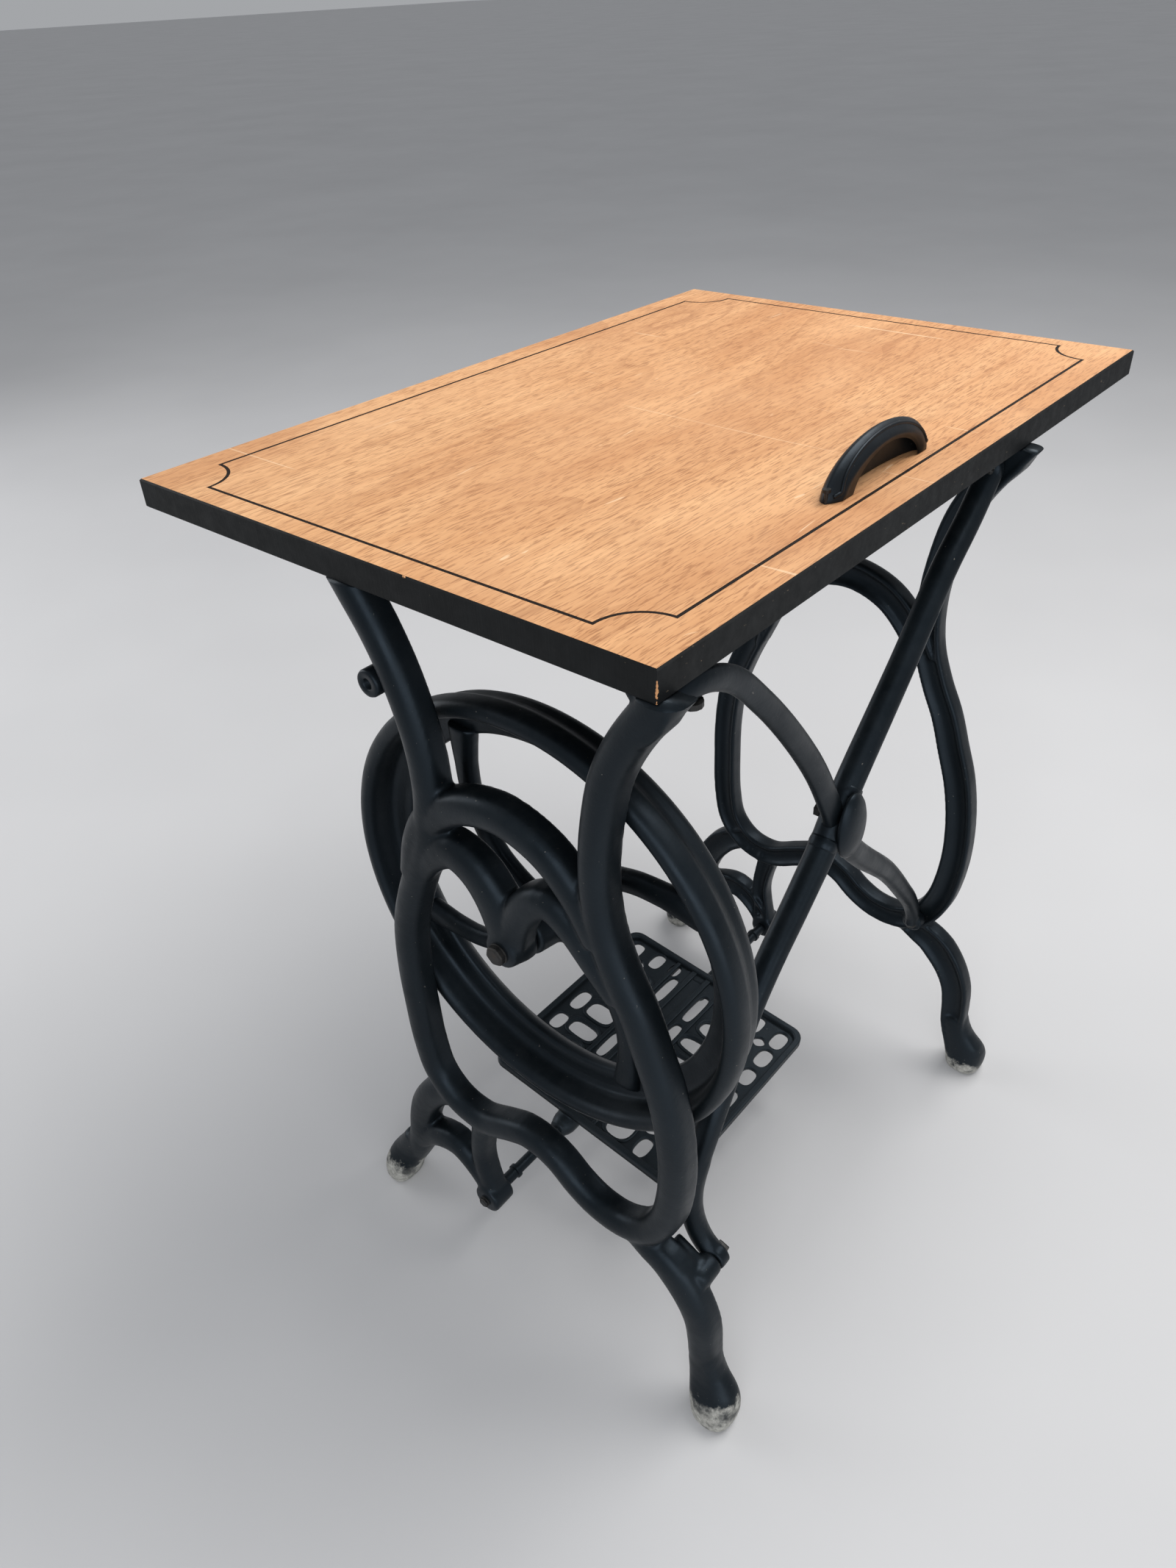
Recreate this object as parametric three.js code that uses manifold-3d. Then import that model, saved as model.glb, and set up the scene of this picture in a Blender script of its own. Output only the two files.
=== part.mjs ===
// Treadle sewing table: a wooden top with an inlaid line and a cup pull, on two cast-iron end frames
// tied by an X brace, with a band wheel on a stud and a fretwork treadle on a cross rod.
// Units are millimetres, +Z is up, and the user sits on the -Y side. Positions are laid out from the
// floor point under the middle of the top, and the last lines move the table so that its own origin is
// the floor point under the middle of its bounding box.
import * as THREE from "three";
import { mergeVertices } from "three/addons/utils/BufferGeometryUtils.js";
import Module from "manifold-3d";

const wasm = await Module();
wasm.setup();

// ---- driving dimensions ----
const GAP = 0.3;
const RUNNING = 0.09;
const TOP = { length: 740, depth: 505.4, thickness: 23.2, height: 740, edge: 1.2 };
const INLAY = { halfX: 349, halfY: 225, scallop: 35, width: 2.2, depth: 0.9 };
const PULL = { x: 48, y: 207, halfX: 78, halfY: 17, height: 36, lipY: 216, screwX: 69 };
const PULL_FULLNESS = { plan: 1.93, section: 1.6 };
const PULL_HOLLOW = { halfX: 56, halfY: 12, height: 31, forwards: 3 };
const FRAME = { depth: 26, width: 26, driveX: 360, plainX: -132 };
const PAD = { width: 20, thickness: 5, screwR: 2.5 };
const FOOT = { outer: 27, back: 333 };
const WHEEL = { y: 103, z: 443.5, near: 342, radius: 195.5, hubR: 24, boreR: 9.8 };
const STUD = { r: 6, headR: 11, headT: 7 };
const ROD = { y: 42, z: 73, r: 6 };
const PEDAL = { x0: 5, x1: 255, y0: -104, y1: 137, plate: 5, rim: 10, rise: 18.7, tilt: -5.69 };
const BOLT = { r: 4, headR: 8.5, headT: 6 };
const MEDAL = { x: 112, z: 475, halfX: 20, halfZ: 33, y: 252, bulge: 11 };

const UNDER_TOP = TOP.height - TOP.thickness;
const frameFace = (x, side) => x + (side * FRAME.depth) / 2;
const DRIVE_INNER = frameFace(FRAME.driveX, -1);
const DRIVE_OUTER = frameFace(FRAME.driveX, 1);
const PLAIN_INNER = frameFace(FRAME.plainX, 1);
const PLAIN_OUTER = frameFace(FRAME.plainX, -1);

// ---- materials ----
const paint = (color) => new THREE.MeshStandardMaterial({ color, roughness: 0.5, metalness: 0.35 });
const castPaint = paint(0x3a4347);
const wheelPaint = paint(0x454e52);
const boltSteel = new THREE.MeshStandardMaterial({ color: 0x5a5e60, roughness: 0.45, metalness: 0.8 });
const veneer = new THREE.MeshStandardMaterial({ color: 0xe6cfae, roughness: 0.55 });
const darkLine = new THREE.MeshStandardMaterial({ color: 0x3a1f14, roughness: 0.6 });
const pullBlack = paint(0x2b2f31);

// ---- solids: three.js makes the shapes, manifold-3d joins and cuts them ----
function solid(geometry) {
  const flat = geometry.index ? geometry.toNonIndexed() : geometry.clone();
  flat.deleteAttribute("normal");
  flat.deleteAttribute("uv");
  const merged = mergeVertices(flat, 1e-3);
  const numbers = { numProp: 3, vertProperties: merged.attributes.position.array };
  return new wasm.Manifold(new wasm.Mesh({ ...numbers, triVerts: new Uint32Array(merged.index.array) }));
}

function geometryOf(body) {
  const mesh = body.getMesh();
  const geometry = new THREE.BufferGeometry();
  geometry.setAttribute("position", new THREE.BufferAttribute(mesh.vertProperties, mesh.numProp));
  geometry.setIndex(new THREE.BufferAttribute(mesh.triVerts, 1));
  const flat = geometry.toNonIndexed();
  flat.computeVertexNormals();
  return flat;
}

const joined = (bodies) => bodies.reduce((all, body) => all.add(body));
const without = (body, cutters) => cutters.reduce((left, cutter) => left.subtract(cutter), body);

const table = new THREE.Group();

function piece(name, body, material, parent = table) {
  const geometry = body.isBufferGeometry ? body : geometryOf(body);
  const mesh = new THREE.Mesh(geometry, material);
  mesh.name = name;
  parent.add(mesh);
  return mesh;
}

// A cylinder or cone along X from x0 to x1, with its radius at each end.
function rodX(x0, x1, y, z, r0, r1 = r0, sides = 24) {
  const geometry = new THREE.CylinderGeometry(r1, r0, x1 - x0, sides);
  geometry.rotateZ(-Math.PI / 2);
  geometry.translate((x0 + x1) / 2, y, z);
  return solid(geometry);
}

function rodZ(x, y, z0, z1, r, sides = 16) {
  const geometry = new THREE.CylinderGeometry(r, r, z1 - z0, sides);
  geometry.rotateX(Math.PI / 2);
  geometry.translate(x, y, (z0 + z1) / 2);
  return solid(geometry);
}

function rodY(x, z, y0, y1, r, sides = 16) {
  const geometry = new THREE.CylinderGeometry(r, r, y1 - y0, sides);
  geometry.translate(x, (y0 + y1) / 2, z);
  return solid(geometry);
}

// A bar swept along a smooth curve. Each section point is [towards -X or -Y, across the curve].
function sweep(points, section, steps) {
  const route = points.map((p) => new THREE.Vector3(...p));
  const extrudePath = new THREE.CatmullRomCurve3(route, false, "centripetal");
  const shape = new THREE.Shape(section.map(([a, b]) => new THREE.Vector2(a, b)));
  return solid(new THREE.ExtrudeGeometry(shape, { steps, bevelEnabled: false, extrudePath }));
}

// Half-round casting section: flat on the inner side, crowned on the side that faces outwards.
function halfRound(width, depth, outwards) {
  const [h, d] = [width / 2, depth / 2];
  const half = [
    [d, h - 1],
    [-d + 9, h],
    [-d, h * 0.4],
  ];
  const upper = half.map(([a, b]) => [a * outwards, b]);
  const lower = half.map(([a, b]) => [a * outwards, -b]).reverse();
  return outwards > 0 ? [...lower, ...upper].reverse() : [...lower, ...upper];
}

function ovalSection(halfA, halfB, sides = 10) {
  const turn = (i) => (2 * Math.PI * i) / sides;
  return Array.from({ length: sides }, (_, i) => [halfA * Math.cos(turn(i)), halfB * Math.sin(turn(i))]);
}

// An outline in the YZ plane, extruded along X and centred on x, with its long edges bevelled.
function plateX(outline, x, width, bevel = 0) {
  const shape = new THREE.Shape(outline.map(([y, z]) => new THREE.Vector2(y, z)));
  const geometry = new THREE.ExtrudeGeometry(shape, {
    depth: width - 2 * bevel,
    bevelEnabled: bevel > 0,
    bevelThickness: bevel,
    bevelSize: bevel,
    bevelOffset: -bevel,
    bevelSegments: 1,
  });
  geometry.translate(0, 0, bevel - width / 2);
  geometry.applyMatrix4(new THREE.Matrix4().set(0, 0, 1, x, 1, 0, 0, 0, 0, 1, 0, 0, 0, 0, 0, 1));
  return solid(geometry);
}

// ---- end frames: centrelines as [y, z] ----
const LOOP = [
  [247, 712], [222, 675], [208, 645], [199, 606], [195, 572], [195, 540], [200, 510], [212, 478],
  [226, 449], [238, 415], [250, 380], [258, 340], [261, 300], [259, 262], [252, 228], [236, 198],
  [210, 182], [182, 181], [158, 191], [138, 206], [120, 213], [100, 213], [79, 204], [45, 188],
  [12, 192], [-12, 215], [-21, 250], [-24, 300], [-24, 350], [-18, 400], [-5, 440], [10, 475],
];
const ARCH = [
  [2, 465], [12, 500], [27, 527], [48, 547], [75, 562], [112, 568], [150, 556], [176, 532], [196, 500],
];
const FRONT_UPRIGHT = [[-17, 712], [4, 680], [20, 645], [32, 600], [34, 555], [24, 510], [8, 470]];
const BACK_LEG = [
  [196, 183], [228, 176], [254, 166], [275, 145], [288, 118], [292, 90], [294, 64], [304, 40], [309, 22],
];
const FRONT_LEG = [[8, 196], [-20, 178], [-40, 150], [-51, 120], [-57, 92], [-66, 64], [-80, 38], [-90, 20]];
const HOOK = [[-60, 78], [-45, 95], [-25, 109], [0, 115], [18, 106], [32, 92], [ROD.y, ROD.z]];
const STRUT = [[42, 182], [36, 155], [33, 130], [36, 105], [ROD.y, ROD.z]];
const WHEEL_ARM_FRONT = [[6, 470], [26, 495], [52, 511], [76, 503], [94, 480], [WHEEL.y, WHEEL.z]];
const WHEEL_ARM_BACK = [
  [WHEEL.y, WHEEL.z], [112, 472], [128, 497], [148, 510], [168, 501], [190, 479], [213, 456],
];
// Feet as rows of [z, lowest y, highest y, reach inwards, reach outwards], from the sole up.
const BACK_FOOT = [
  [0, 294, 329, 12, 25], [4, 291, 332, 14, 27], [16, 290, 333, 14, 26.5], [30, 286, 332, 13.5, 22],
  [42, 283, 325, 13, 16], [56, 281, 313, 12.5, 13], [68, 281, 308, 12, 12],
];
const FRONT_FOOT = [
  [0, -106, -81, 12, 25], [4, -110, -78, 14, 27], [16, -112, -74, 14, 26.5], [30, -108, -69, 13.5, 22],
  [42, -102, -64, 13, 16], [56, -93, -57, 12.5, 13], [68, -84, -53, 12, 12],
];
// Lugs under the top, turned inwards: where each leaves the frame and where its screw is, as [reach, y].
const PADS = {
  back: { root: [3, 232], screw: [27, 205] },
  front: { root: [3, -17], screw: [27, -12] },
};
const LEG_TOP = [[236, 716], [261, 716], [266, 711], [264, 703], [256, 692], [240, 692]];
const BRACE_TOP = { plain: [232, 700] };
const BRACE_SCREW = { x: 322, y: 242, r: 3 };
const BRACE_FOOT = { plain: [234, 198], drive: [279, 158] };

function member(points, x, outwards, steps, width = FRAME.width, depth = FRAME.depth) {
  const route = points.map(([y, z]) => [x, y, z]);
  return sweep(route, halfRound(width, depth, outwards), steps);
}

const padScrew = ({ screw }, x, outwards) => [x - outwards * screw[0], screw[1]];

// The flat lug under the top, with round ends.
function pad({ root, screw }, x, outwards) {
  const [x0, y0, x1, y1] = [x - outwards * root[0], root[1], x - outwards * screw[0], screw[1]];
  const r = PAD.width / 2;
  const heading = Math.atan2(y1 - y0, x1 - x0);
  const shape = new THREE.Shape();
  shape.absarc(x1, y1, r, heading - Math.PI / 2, heading + Math.PI / 2);
  shape.absarc(x0, y0, r, heading + Math.PI / 2, heading + 1.5 * Math.PI);
  const geometry = new THREE.ExtrudeGeometry(shape, {
    depth: PAD.thickness,
    bevelEnabled: false,
    curveSegments: 6,
  });
  geometry.translate(0, 0, UNDER_TOP - GAP - PAD.thickness);
  return solid(geometry);
}

// A solid through rings of points, each ring listed anticlockwise seen from the last one.
function loft(rings) {
  const count = rings[0].length;
  const index = [];
  for (let row = 0; row + 1 < rings.length; row++) {
    for (let k = 0; k < count; k++) {
      const [a, b] = [row * count + k, row * count + ((k + 1) % count)];
      index.push(a, b, b + count, a, b + count, a + count);
    }
  }
  const last = (rings.length - 1) * count;
  for (let k = 1; k + 1 < count; k++) index.push(0, k + 1, k, last, last + k, last + k + 1);
  const geometry = new THREE.BufferGeometry();
  geometry.setAttribute("position", new THREE.Float32BufferAttribute(rings.flat(2), 3));
  geometry.setIndex(index);
  return solid(geometry);
}

const power = (value, exponent) => Math.sign(value) * Math.abs(value) ** exponent;

function foot(rows, x, outwards) {
  const rings = rows.map(([z, y0, y1, inner, outer]) => {
    const [x0, x1] = [x - inner * outwards, x + outer * outwards].sort((a, b) => a - b);
    return Array.from({ length: 14 }, (_, k) => {
      const turn = (2 * Math.PI * k) / 14;
      const [a, b] = [power(Math.cos(turn), 0.75), power(Math.sin(turn), 0.75)];
      return [(x0 + x1) / 2 + (a * (x1 - x0)) / 2, (y0 + y1) / 2 + (b * (y1 - y0)) / 2, z];
    });
  });
  return loft(rings);
}

function endFrame(x, outwards, extras, cutters) {
  const bodies = [
    member(LOOP, x, outwards, 60),
    member(ARCH, x, outwards, 14),
    member(FRONT_UPRIGHT, x, outwards, 9),
    member(BACK_LEG, x, outwards, 8, 28),
    member(FRONT_LEG, x, outwards, 8, 30),
    member(HOOK, x, outwards, 7, 24),
    member(STRUT, x, outwards, 4, 22, 22),
    foot(BACK_FOOT, x, outwards),
    foot(FRONT_FOOT, x, outwards),
    plateX(LEG_TOP, x, FRAME.depth, 2),
    rodX(x - FRAME.depth / 2, x + FRAME.depth / 2, ROD.y, ROD.z, 15),
    ...Object.values(PADS).map((place) => pad(place, x, outwards)),
    ...extras,
  ];
  const headRoom = new THREE.BoxGeometry(200, 600, 60);
  headRoom.translate(x, 100, UNDER_TOP - GAP + 30);
  const screwHoles = Object.values(PADS).map((place) =>
    rodZ(...padScrew(place, x, outwards), 690, 730, PAD.screwR + GAP, 12),
  );
  const rodScrewHole = rodX(x - 40, x + 40, ROD.y, ROD.z, BOLT.r + GAP, BOLT.r + GAP, 12);
  return without(joined(bodies), [solid(headRoom), ...screwHoles, rodScrewHole, ...cutters]);
}

const boltHole = (x0, x1, [y, z]) => rodX(x0, x1, y, z, BOLT.r + GAP, BOLT.r + GAP, 12);
const LUG = { x0: 331.3, r: 13 };
const BOSS = { x0: 348, r0: 19, r1: 14.5 };
const STUB = { y: -3, z: 643, r: 11 };

piece(
  "drive_end_frame",
  endFrame(
    FRAME.driveX,
    1,
    [
      member(WHEEL_ARM_FRONT, FRAME.driveX, 1, 8, 30, 24),
      member(WHEEL_ARM_BACK, FRAME.driveX, 1, 8, 28, 24),
      rodX(BOSS.x0, DRIVE_OUTER, WHEEL.y, WHEEL.z, BOSS.r0, BOSS.r1, 24),
      rodX(DRIVE_INNER, DRIVE_OUTER, STUB.y, STUB.z, STUB.r),
      rodX(LUG.x0, FRAME.driveX, ...BRACE_FOOT.drive, LUG.r),
    ],
    [
      rodX(BOSS.x0 - 30, DRIVE_OUTER + 5, WHEEL.y, WHEEL.z, STUD.r + GAP, STUD.r + GAP, 16),
      rodX(BOSS.x0 - 30, BOSS.x0, WHEEL.y, WHEEL.z, BOSS.r0 + 8, BOSS.r0 + 8, 24),
      rodX(DRIVE_OUTER - 12, DRIVE_OUTER + 5, STUB.y, STUB.z, 4, 4, 12),
      boltHole(LUG.x0 - 5, 352, BRACE_FOOT.drive),
    ],
  ),
  castPaint,
);

piece(
  "plain_end_frame",
  endFrame(
    FRAME.plainX,
    -1,
    [],
    [
      boltHole(PLAIN_INNER - 16, PLAIN_INNER + 5, BRACE_TOP.plain),
      boltHole(PLAIN_INNER - 16, PLAIN_INNER + 5, BRACE_FOOT.plain),
    ],
  ),
  castPaint,
);

// ---- top: board, inlaid line, cup pull and its screws ----
// A rectangle with a concave quarter circle at each corner, grown outwards by t.
function scallopedOutline(t, path = new THREE.Shape()) {
  const r = INLAY.scallop - t;
  const lean = Math.asin(t / r);
  const corners = [[1, 1, 270], [-1, 1, 0], [-1, -1, 90], [1, -1, 180]];
  for (const [sx, sy, start] of corners) {
    const from = THREE.MathUtils.degToRad(start) + lean;
    path.absarc(sx * INLAY.halfX, sy * INLAY.halfY, r, from, from - Math.PI / 2 - 2 * lean, true);
  }
  return path;
}

function inlayRing(halfWidth, depth, lift) {
  const shape = scallopedOutline(halfWidth);
  shape.holes.push(scallopedOutline(-halfWidth, new THREE.Path()));
  const geometry = new THREE.ExtrudeGeometry(shape, { depth, bevelEnabled: false, curveSegments: 6 });
  geometry.translate(0, 0, TOP.height - depth + lift);
  return solid(geometry);
}

function board() {
  const [hx, hy] = [TOP.length / 2, TOP.depth / 2];
  const outline = [[-hx, -hy], [hx, -hy], [hx, hy], [-hx, hy]].map(([x, y]) => new THREE.Vector2(x, y));
  const geometry = new THREE.ExtrudeGeometry(new THREE.Shape(outline), {
    depth: TOP.thickness - 2 * TOP.edge,
    bevelThickness: TOP.edge,
    bevelSize: TOP.edge,
    bevelOffset: -TOP.edge,
    bevelSegments: 1,
  });
  geometry.translate(0, 0, UNDER_TOP + TOP.edge);
  const screwHoles = Object.values(PADS).flatMap((place) => [
    rodZ(...padScrew(place, FRAME.driveX, 1), UNDER_TOP - 5, UNDER_TOP + 13, PAD.screwR + GAP, 12),
    rodZ(...padScrew(place, FRAME.plainX, -1), UNDER_TOP - 5, UNDER_TOP + 13, PAD.screwR + GAP, 12),
  ]);
  const pullHoles = [-1, 1].map((s) =>
    rodZ(PULL.x + s * PULL.screwX, PULL.y + 1, TOP.height - 11, TOP.height + 5, 1.8, 10),
  );
  const { x: braceX, y: braceY, r: braceR } = BRACE_SCREW;
  const braceHole = rodZ(braceX, braceY, UNDER_TOP - 5, UNDER_TOP + 13, braceR + GAP, 12);
  const groove = inlayRing(INLAY.width / 2 + GAP, INLAY.depth + GAP + 1, 1);
  return without(solid(geometry), [groove, braceHole, ...screwHoles, ...pullHoles]);
}

function ellipsoid(x, y, z, a, b, c, around = 24, down = 12) {
  const geometry = new THREE.SphereGeometry(1, around, down);
  geometry.rotateX(Math.PI / 2);
  geometry.scale(a, b, c);
  geometry.translate(x, y, z);
  return solid(geometry);
}

function block(x0, x1, y0, y1, z0, z1) {
  const geometry = new THREE.BoxGeometry(x1 - x0, y1 - y0, z1 - z0);
  geometry.translate((x0 + x1) / 2, (y0 + y1) / 2, (z0 + z1) / 2);
  return solid(geometry);
}

// An ellipsoid whose fullness along X and round its section are set apart.
function fullDome(x, y, z, a, b, c, around, down) {
  const geometry = new THREE.SphereGeometry(1, around, down);
  geometry.rotateX(Math.PI / 2);
  const spots = geometry.attributes.position;
  const { plan, section } = PULL_FULLNESS;
  for (let i = 0; i < spots.count; i++) {
    const spot = [spots.getX(i), spots.getY(i), spots.getZ(i)];
    const [along, across, up] = spot.map(Math.abs);
    const round = (across ** section + up ** section) ** (plan / section);
    const reach = (along ** plan + round) ** (-1 / plan);
    spots.setXYZ(i, ...spot.map((v) => v * reach));
  }
  geometry.scale(a, b, c);
  geometry.translate(x, y, z);
  return solid(geometry);
}

const PULL_BASE = TOP.height + GAP;
const PULL_SCREW = { r: 1.5, headR: 3.2, z: PULL_BASE + 8 };

function cupPull() {
  const shell = fullDome(PULL.x, PULL.y, PULL_BASE, PULL.halfX, PULL.halfY, PULL.height, 32, 14);
  const { halfX, halfY, height, forwards } = PULL_HOLLOW;
  const hollow = fullDome(PULL.x, PULL.y + forwards, PULL_BASE - 1, halfX, halfY, height, 24, 12);
  const below = block(-100, 200, 100, 300, PULL_BASE - 40, PULL_BASE);
  const behind = block(-100, 200, PULL.lipY, 300, PULL_BASE - 40, PULL_BASE + 40);
  const screws = [-1, 1].flatMap((s) => [
    rodZ(PULL.x + s * PULL.screwX, PULL.y + 1, PULL_BASE - 1, PULL_BASE + 30, PULL_SCREW.r + GAP, 10),
    rodZ(
      PULL.x + s * PULL.screwX,
      PULL.y + 1,
      PULL_SCREW.z - GAP,
      PULL_BASE + 30,
      PULL_SCREW.headR + GAP,
      12,
    ),
  ]);
  return without(shell, [hollow, below, behind, ...screws]);
}

piece("table_top", board(), veneer);
piece("inlay_line", inlayRing(INLAY.width / 2, INLAY.depth, 0), darkLine);
piece("top_pull", cupPull(), pullBlack);
for (const [name, s] of [["pull_screw_left", -1], ["pull_screw_right", 1]]) {
  const [x, y] = [PULL.x + s * PULL.screwX, PULL.y + 1];
  const shank = rodZ(x, y, TOP.height - 10, PULL_SCREW.z + 1, PULL_SCREW.r, 10);
  const head = rodZ(x, y, PULL_SCREW.z, PULL_SCREW.z + 2.4, PULL_SCREW.headR, 12);
  piece(name, shank.add(head), boltSteel);
}

// ---- screws that hold the top down on the frame pads ----
for (const [side, x, outwards] of [["drive", FRAME.driveX, 1], ["plain", FRAME.plainX, -1]]) {
  for (const [name, place] of Object.entries(PADS)) {
    const spot = padScrew(place, x, outwards);
    const padBottom = UNDER_TOP - GAP - PAD.thickness;
    const shank = rodZ(...spot, padBottom - 2, UNDER_TOP + 12, PAD.screwR, 10);
    const head = rodZ(...spot, padBottom - GAP - 3.5, padBottom - GAP, 6, 12);
    piece(`top_screw_${side}_${name}`, shank.add(head), boltSteel);
  }
}

// ---- X brace: two crossed bars, halved into each other, under an oval boss ----
const EYE = { r: 11, t: 10 };
const STRAIGHT = [
  [-119, 232, 700], [-85, 233, 668], [-45, 234, 636], [14, 236, 576], [62, 238, 532], [88, 239, 508],
  [115, 240, 480], [134, 241, 458], [157, 242, 438], [181, 243, 418], [207, 244, 397], [241, 246, 365],
  [262, 249, 343], [285, 252, 316], [304, 253, 286], [317, 252, 255], [324, 251, 222], [325, 255, 190],
  [325, 265, 169], [325, 277, 159],
];
const CURVED = [
  [340, 240, 699], [316, 244, 705], [281, 243, 689], [242, 242, 653], [199, 242, 604], [158, 242, 549],
  [127, 242, 496], [112, 242, 467], [85, 240, 432], [51, 238, 396], [-15, 236, 333], [-68, 234, 271],
  [-96, 233, 235], [-107, 234, 210], [-108, 234, 198],
];
const CROSSING = { x: 114, z: 481 };
const flatBar = [[7, -9], [7, 9], [2, 12], [-5, 10], [-9, 3], [-9, -3], [-5, -10], [2, -12]];

const eyeX = (x0, x1, [y, z]) => rodX(x0, x1, y, z, EYE.r);
const headRoomX = (x0, x1, [y, z]) => rodX(x0, x1, y, z, BOLT.headR + 1, BOLT.headR + 1, 16);
const crossHole = rodY(CROSSING.x, CROSSING.z, 200, 255, 3 + GAP, 12);
const curvedSweep = sweep(CURVED, flatBar, 24);
const curvedRoomSection = flatBar.map(([a, b]) => [a + Math.sign(a) * GAP, b + Math.sign(b) * GAP]);
const curvedRoom = sweep(CURVED, curvedRoomSection, 24);

piece(
  "brace_bar_straight",
  without(
    joined([
      sweep(STRAIGHT, ovalSection(11, 11, 8), 26),
      eyeX(PLAIN_INNER + GAP, PLAIN_INNER + GAP + EYE.t, BRACE_TOP.plain),
      eyeX(LUG.x0 - GAP - 12, LUG.x0 - GAP, BRACE_FOOT.drive),
    ]),
    [
      curvedRoom,
      crossHole,
      block(-200, PLAIN_INNER + GAP, 150, 300, 600, 720),
      block(LUG.x0 - GAP, 400, 200, 330, 120, 200),
      block(-200, 400, 150, 300, UNDER_TOP - GAP - 3, 760),
      boltHole(-130, -80, BRACE_TOP.plain),
      boltHole(300, 345, BRACE_FOOT.drive),
      headRoomX(PLAIN_INNER + EYE.t + GAP, PLAIN_INNER + EYE.t + 20, BRACE_TOP.plain),
      headRoomX(300, LUG.x0 - 12 - GAP, BRACE_FOOT.drive),
    ],
  ),
  castPaint,
);

piece(
  "brace_bar_curved",
  without(
    joined([
      curvedSweep,
      rodZ(BRACE_SCREW.x, BRACE_SCREW.y, 700, UNDER_TOP - GAP, 11, 20),
      eyeX(PLAIN_INNER + GAP, PLAIN_INNER + GAP + 12, BRACE_FOOT.plain),
    ]),
    [
      crossHole,
      block(DRIVE_INNER - GAP, 400, 200, 300, 600, 720),
      block(-200, PLAIN_INNER + GAP, 200, 300, 150, 260),
      block(-200, 400, 150, 300, UNDER_TOP - GAP, 760),
      rodZ(BRACE_SCREW.x, BRACE_SCREW.y, 650, 730, BRACE_SCREW.r + GAP, 12),
      rodZ(BRACE_SCREW.x, BRACE_SCREW.y, 650, 694 + GAP, 8.5, 16),
      boltHole(-130, -80, BRACE_FOOT.plain),
      headRoomX(PLAIN_INNER + 12 + GAP, PLAIN_INNER + 40, BRACE_FOOT.plain),
    ],
  ),
  castPaint,
);

const medalHole = rodY(CROSSING.x, CROSSING.z, 240, MEDAL.y + 6, 3 + GAP, 12);
const medalBack = block(0, 300, 200, MEDAL.y, 400, 600);
const dome = ellipsoid(MEDAL.x, MEDAL.y, MEDAL.z, MEDAL.halfX, MEDAL.bulge, MEDAL.halfZ, 20, 10);
piece("brace_medallion", without(dome, [medalBack, medalHole]), castPaint);
const crossShank = rodY(CROSSING.x, CROSSING.z, 226, MEDAL.y + 5, 3, 12);
const crossHead = rodY(CROSSING.x, CROSSING.z, 223, 228, 7, 6);
piece("brace_cross_bolt", crossShank.add(crossHead), boltSteel);

// A square-headed bolt along X: its head starts at face and grows away from the shank.
function boltX(name, face, towards, length, [y, z], sides = 4) {
  const [h0, h1] = [face, face - towards * BOLT.headT].sort((a, b) => a - b);
  const [s0, s1] = [face - towards, face + towards * length].sort((a, b) => a - b);
  const head = rodX(h0, h1, y, z, BOLT.headR, BOLT.headR, sides);
  return piece(name, head.add(rodX(s0, s1, y, z, BOLT.r, BOLT.r, 10)), boltSteel);
}

const endShank = rodZ(BRACE_SCREW.x, BRACE_SCREW.y, 692, UNDER_TOP + 12, BRACE_SCREW.r, 10);
const endHead = rodZ(BRACE_SCREW.x, BRACE_SCREW.y, 690, 694, 7.5, 12);
piece("brace_screw_drive_top", endShank.add(endHead), boltSteel);
boltX("brace_bolt_drive_foot", LUG.x0 - 12 - 2 * GAP, 1, 30, BRACE_FOOT.drive);
boltX("brace_bolt_plain_top", PLAIN_INNER + EYE.t + 2 * GAP, -1, 24, BRACE_TOP.plain);
boltX("brace_bolt_plain_foot", PLAIN_INNER + 12 + 2 * GAP, -1, 26, BRACE_FOOT.plain);

// ---- band wheel on its stud ----
const HUB = { x0: 298, x1: 346 };
// Rim section as [distance in front of or behind the near face, radius]: an outer bead with a belt
// groove behind it, on a thinner inner ring that carries the spokes.
const RIM = [
  [0, 187], [-2, 193], [-7, 195.5], [-17, 195.5], [-25, 189], [-36, 188], [-44, 181],
  [-46, 172], [-40, 161], [-29, 156], [-26, 173], [-20, 178], [-4, 179],
];

function bandWheel() {
  const section = RIM.map(([x, r]) => new THREE.Vector2(r, WHEEL.near + x)).reverse();
  const rim = new THREE.LatheGeometry([...section, section[0]], 44);
  rim.rotateZ(-Math.PI / 2);
  rim.translate(0, WHEEL.y, WHEEL.z);
  const spokeX = 314;
  const spoke = [
    [18, 12], [34, 21], [53, 28], [74, 30], [96, 28], [115, 23], [134, 14], [150, 5], [166, -5],
  ];
  const bodies = [solid(rim), rodX(HUB.x0, HUB.x1, WHEEL.y, WHEEL.z, WHEEL.hubR, WHEEL.hubR - 3, 28)];
  for (let k = 0; k < 4; k++) {
    const turn = THREE.MathUtils.degToRad(29 + 90 * k);
    const [c, s] = [Math.cos(turn), Math.sin(turn)];
    const route = spoke.map(([a, b]) => [spokeX, WHEEL.y + a * c - b * s, WHEEL.z + a * s + b * c]);
    bodies.push(sweep(route, ovalSection(8, 10, 8), 8));
  }
  return joined(bodies).subtract(rodX(280, 360, WHEEL.y, WHEEL.z, WHEEL.boreR, WHEEL.boreR, 24));
}

const tubeX = (x0, x1, y, z, outer, inner, sides = 24) =>
  rodX(x0, x1, y, z, outer, outer, sides).subtract(rodX(x0 - 1, x1 + 1, y, z, inner, inner, sides));

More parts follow.
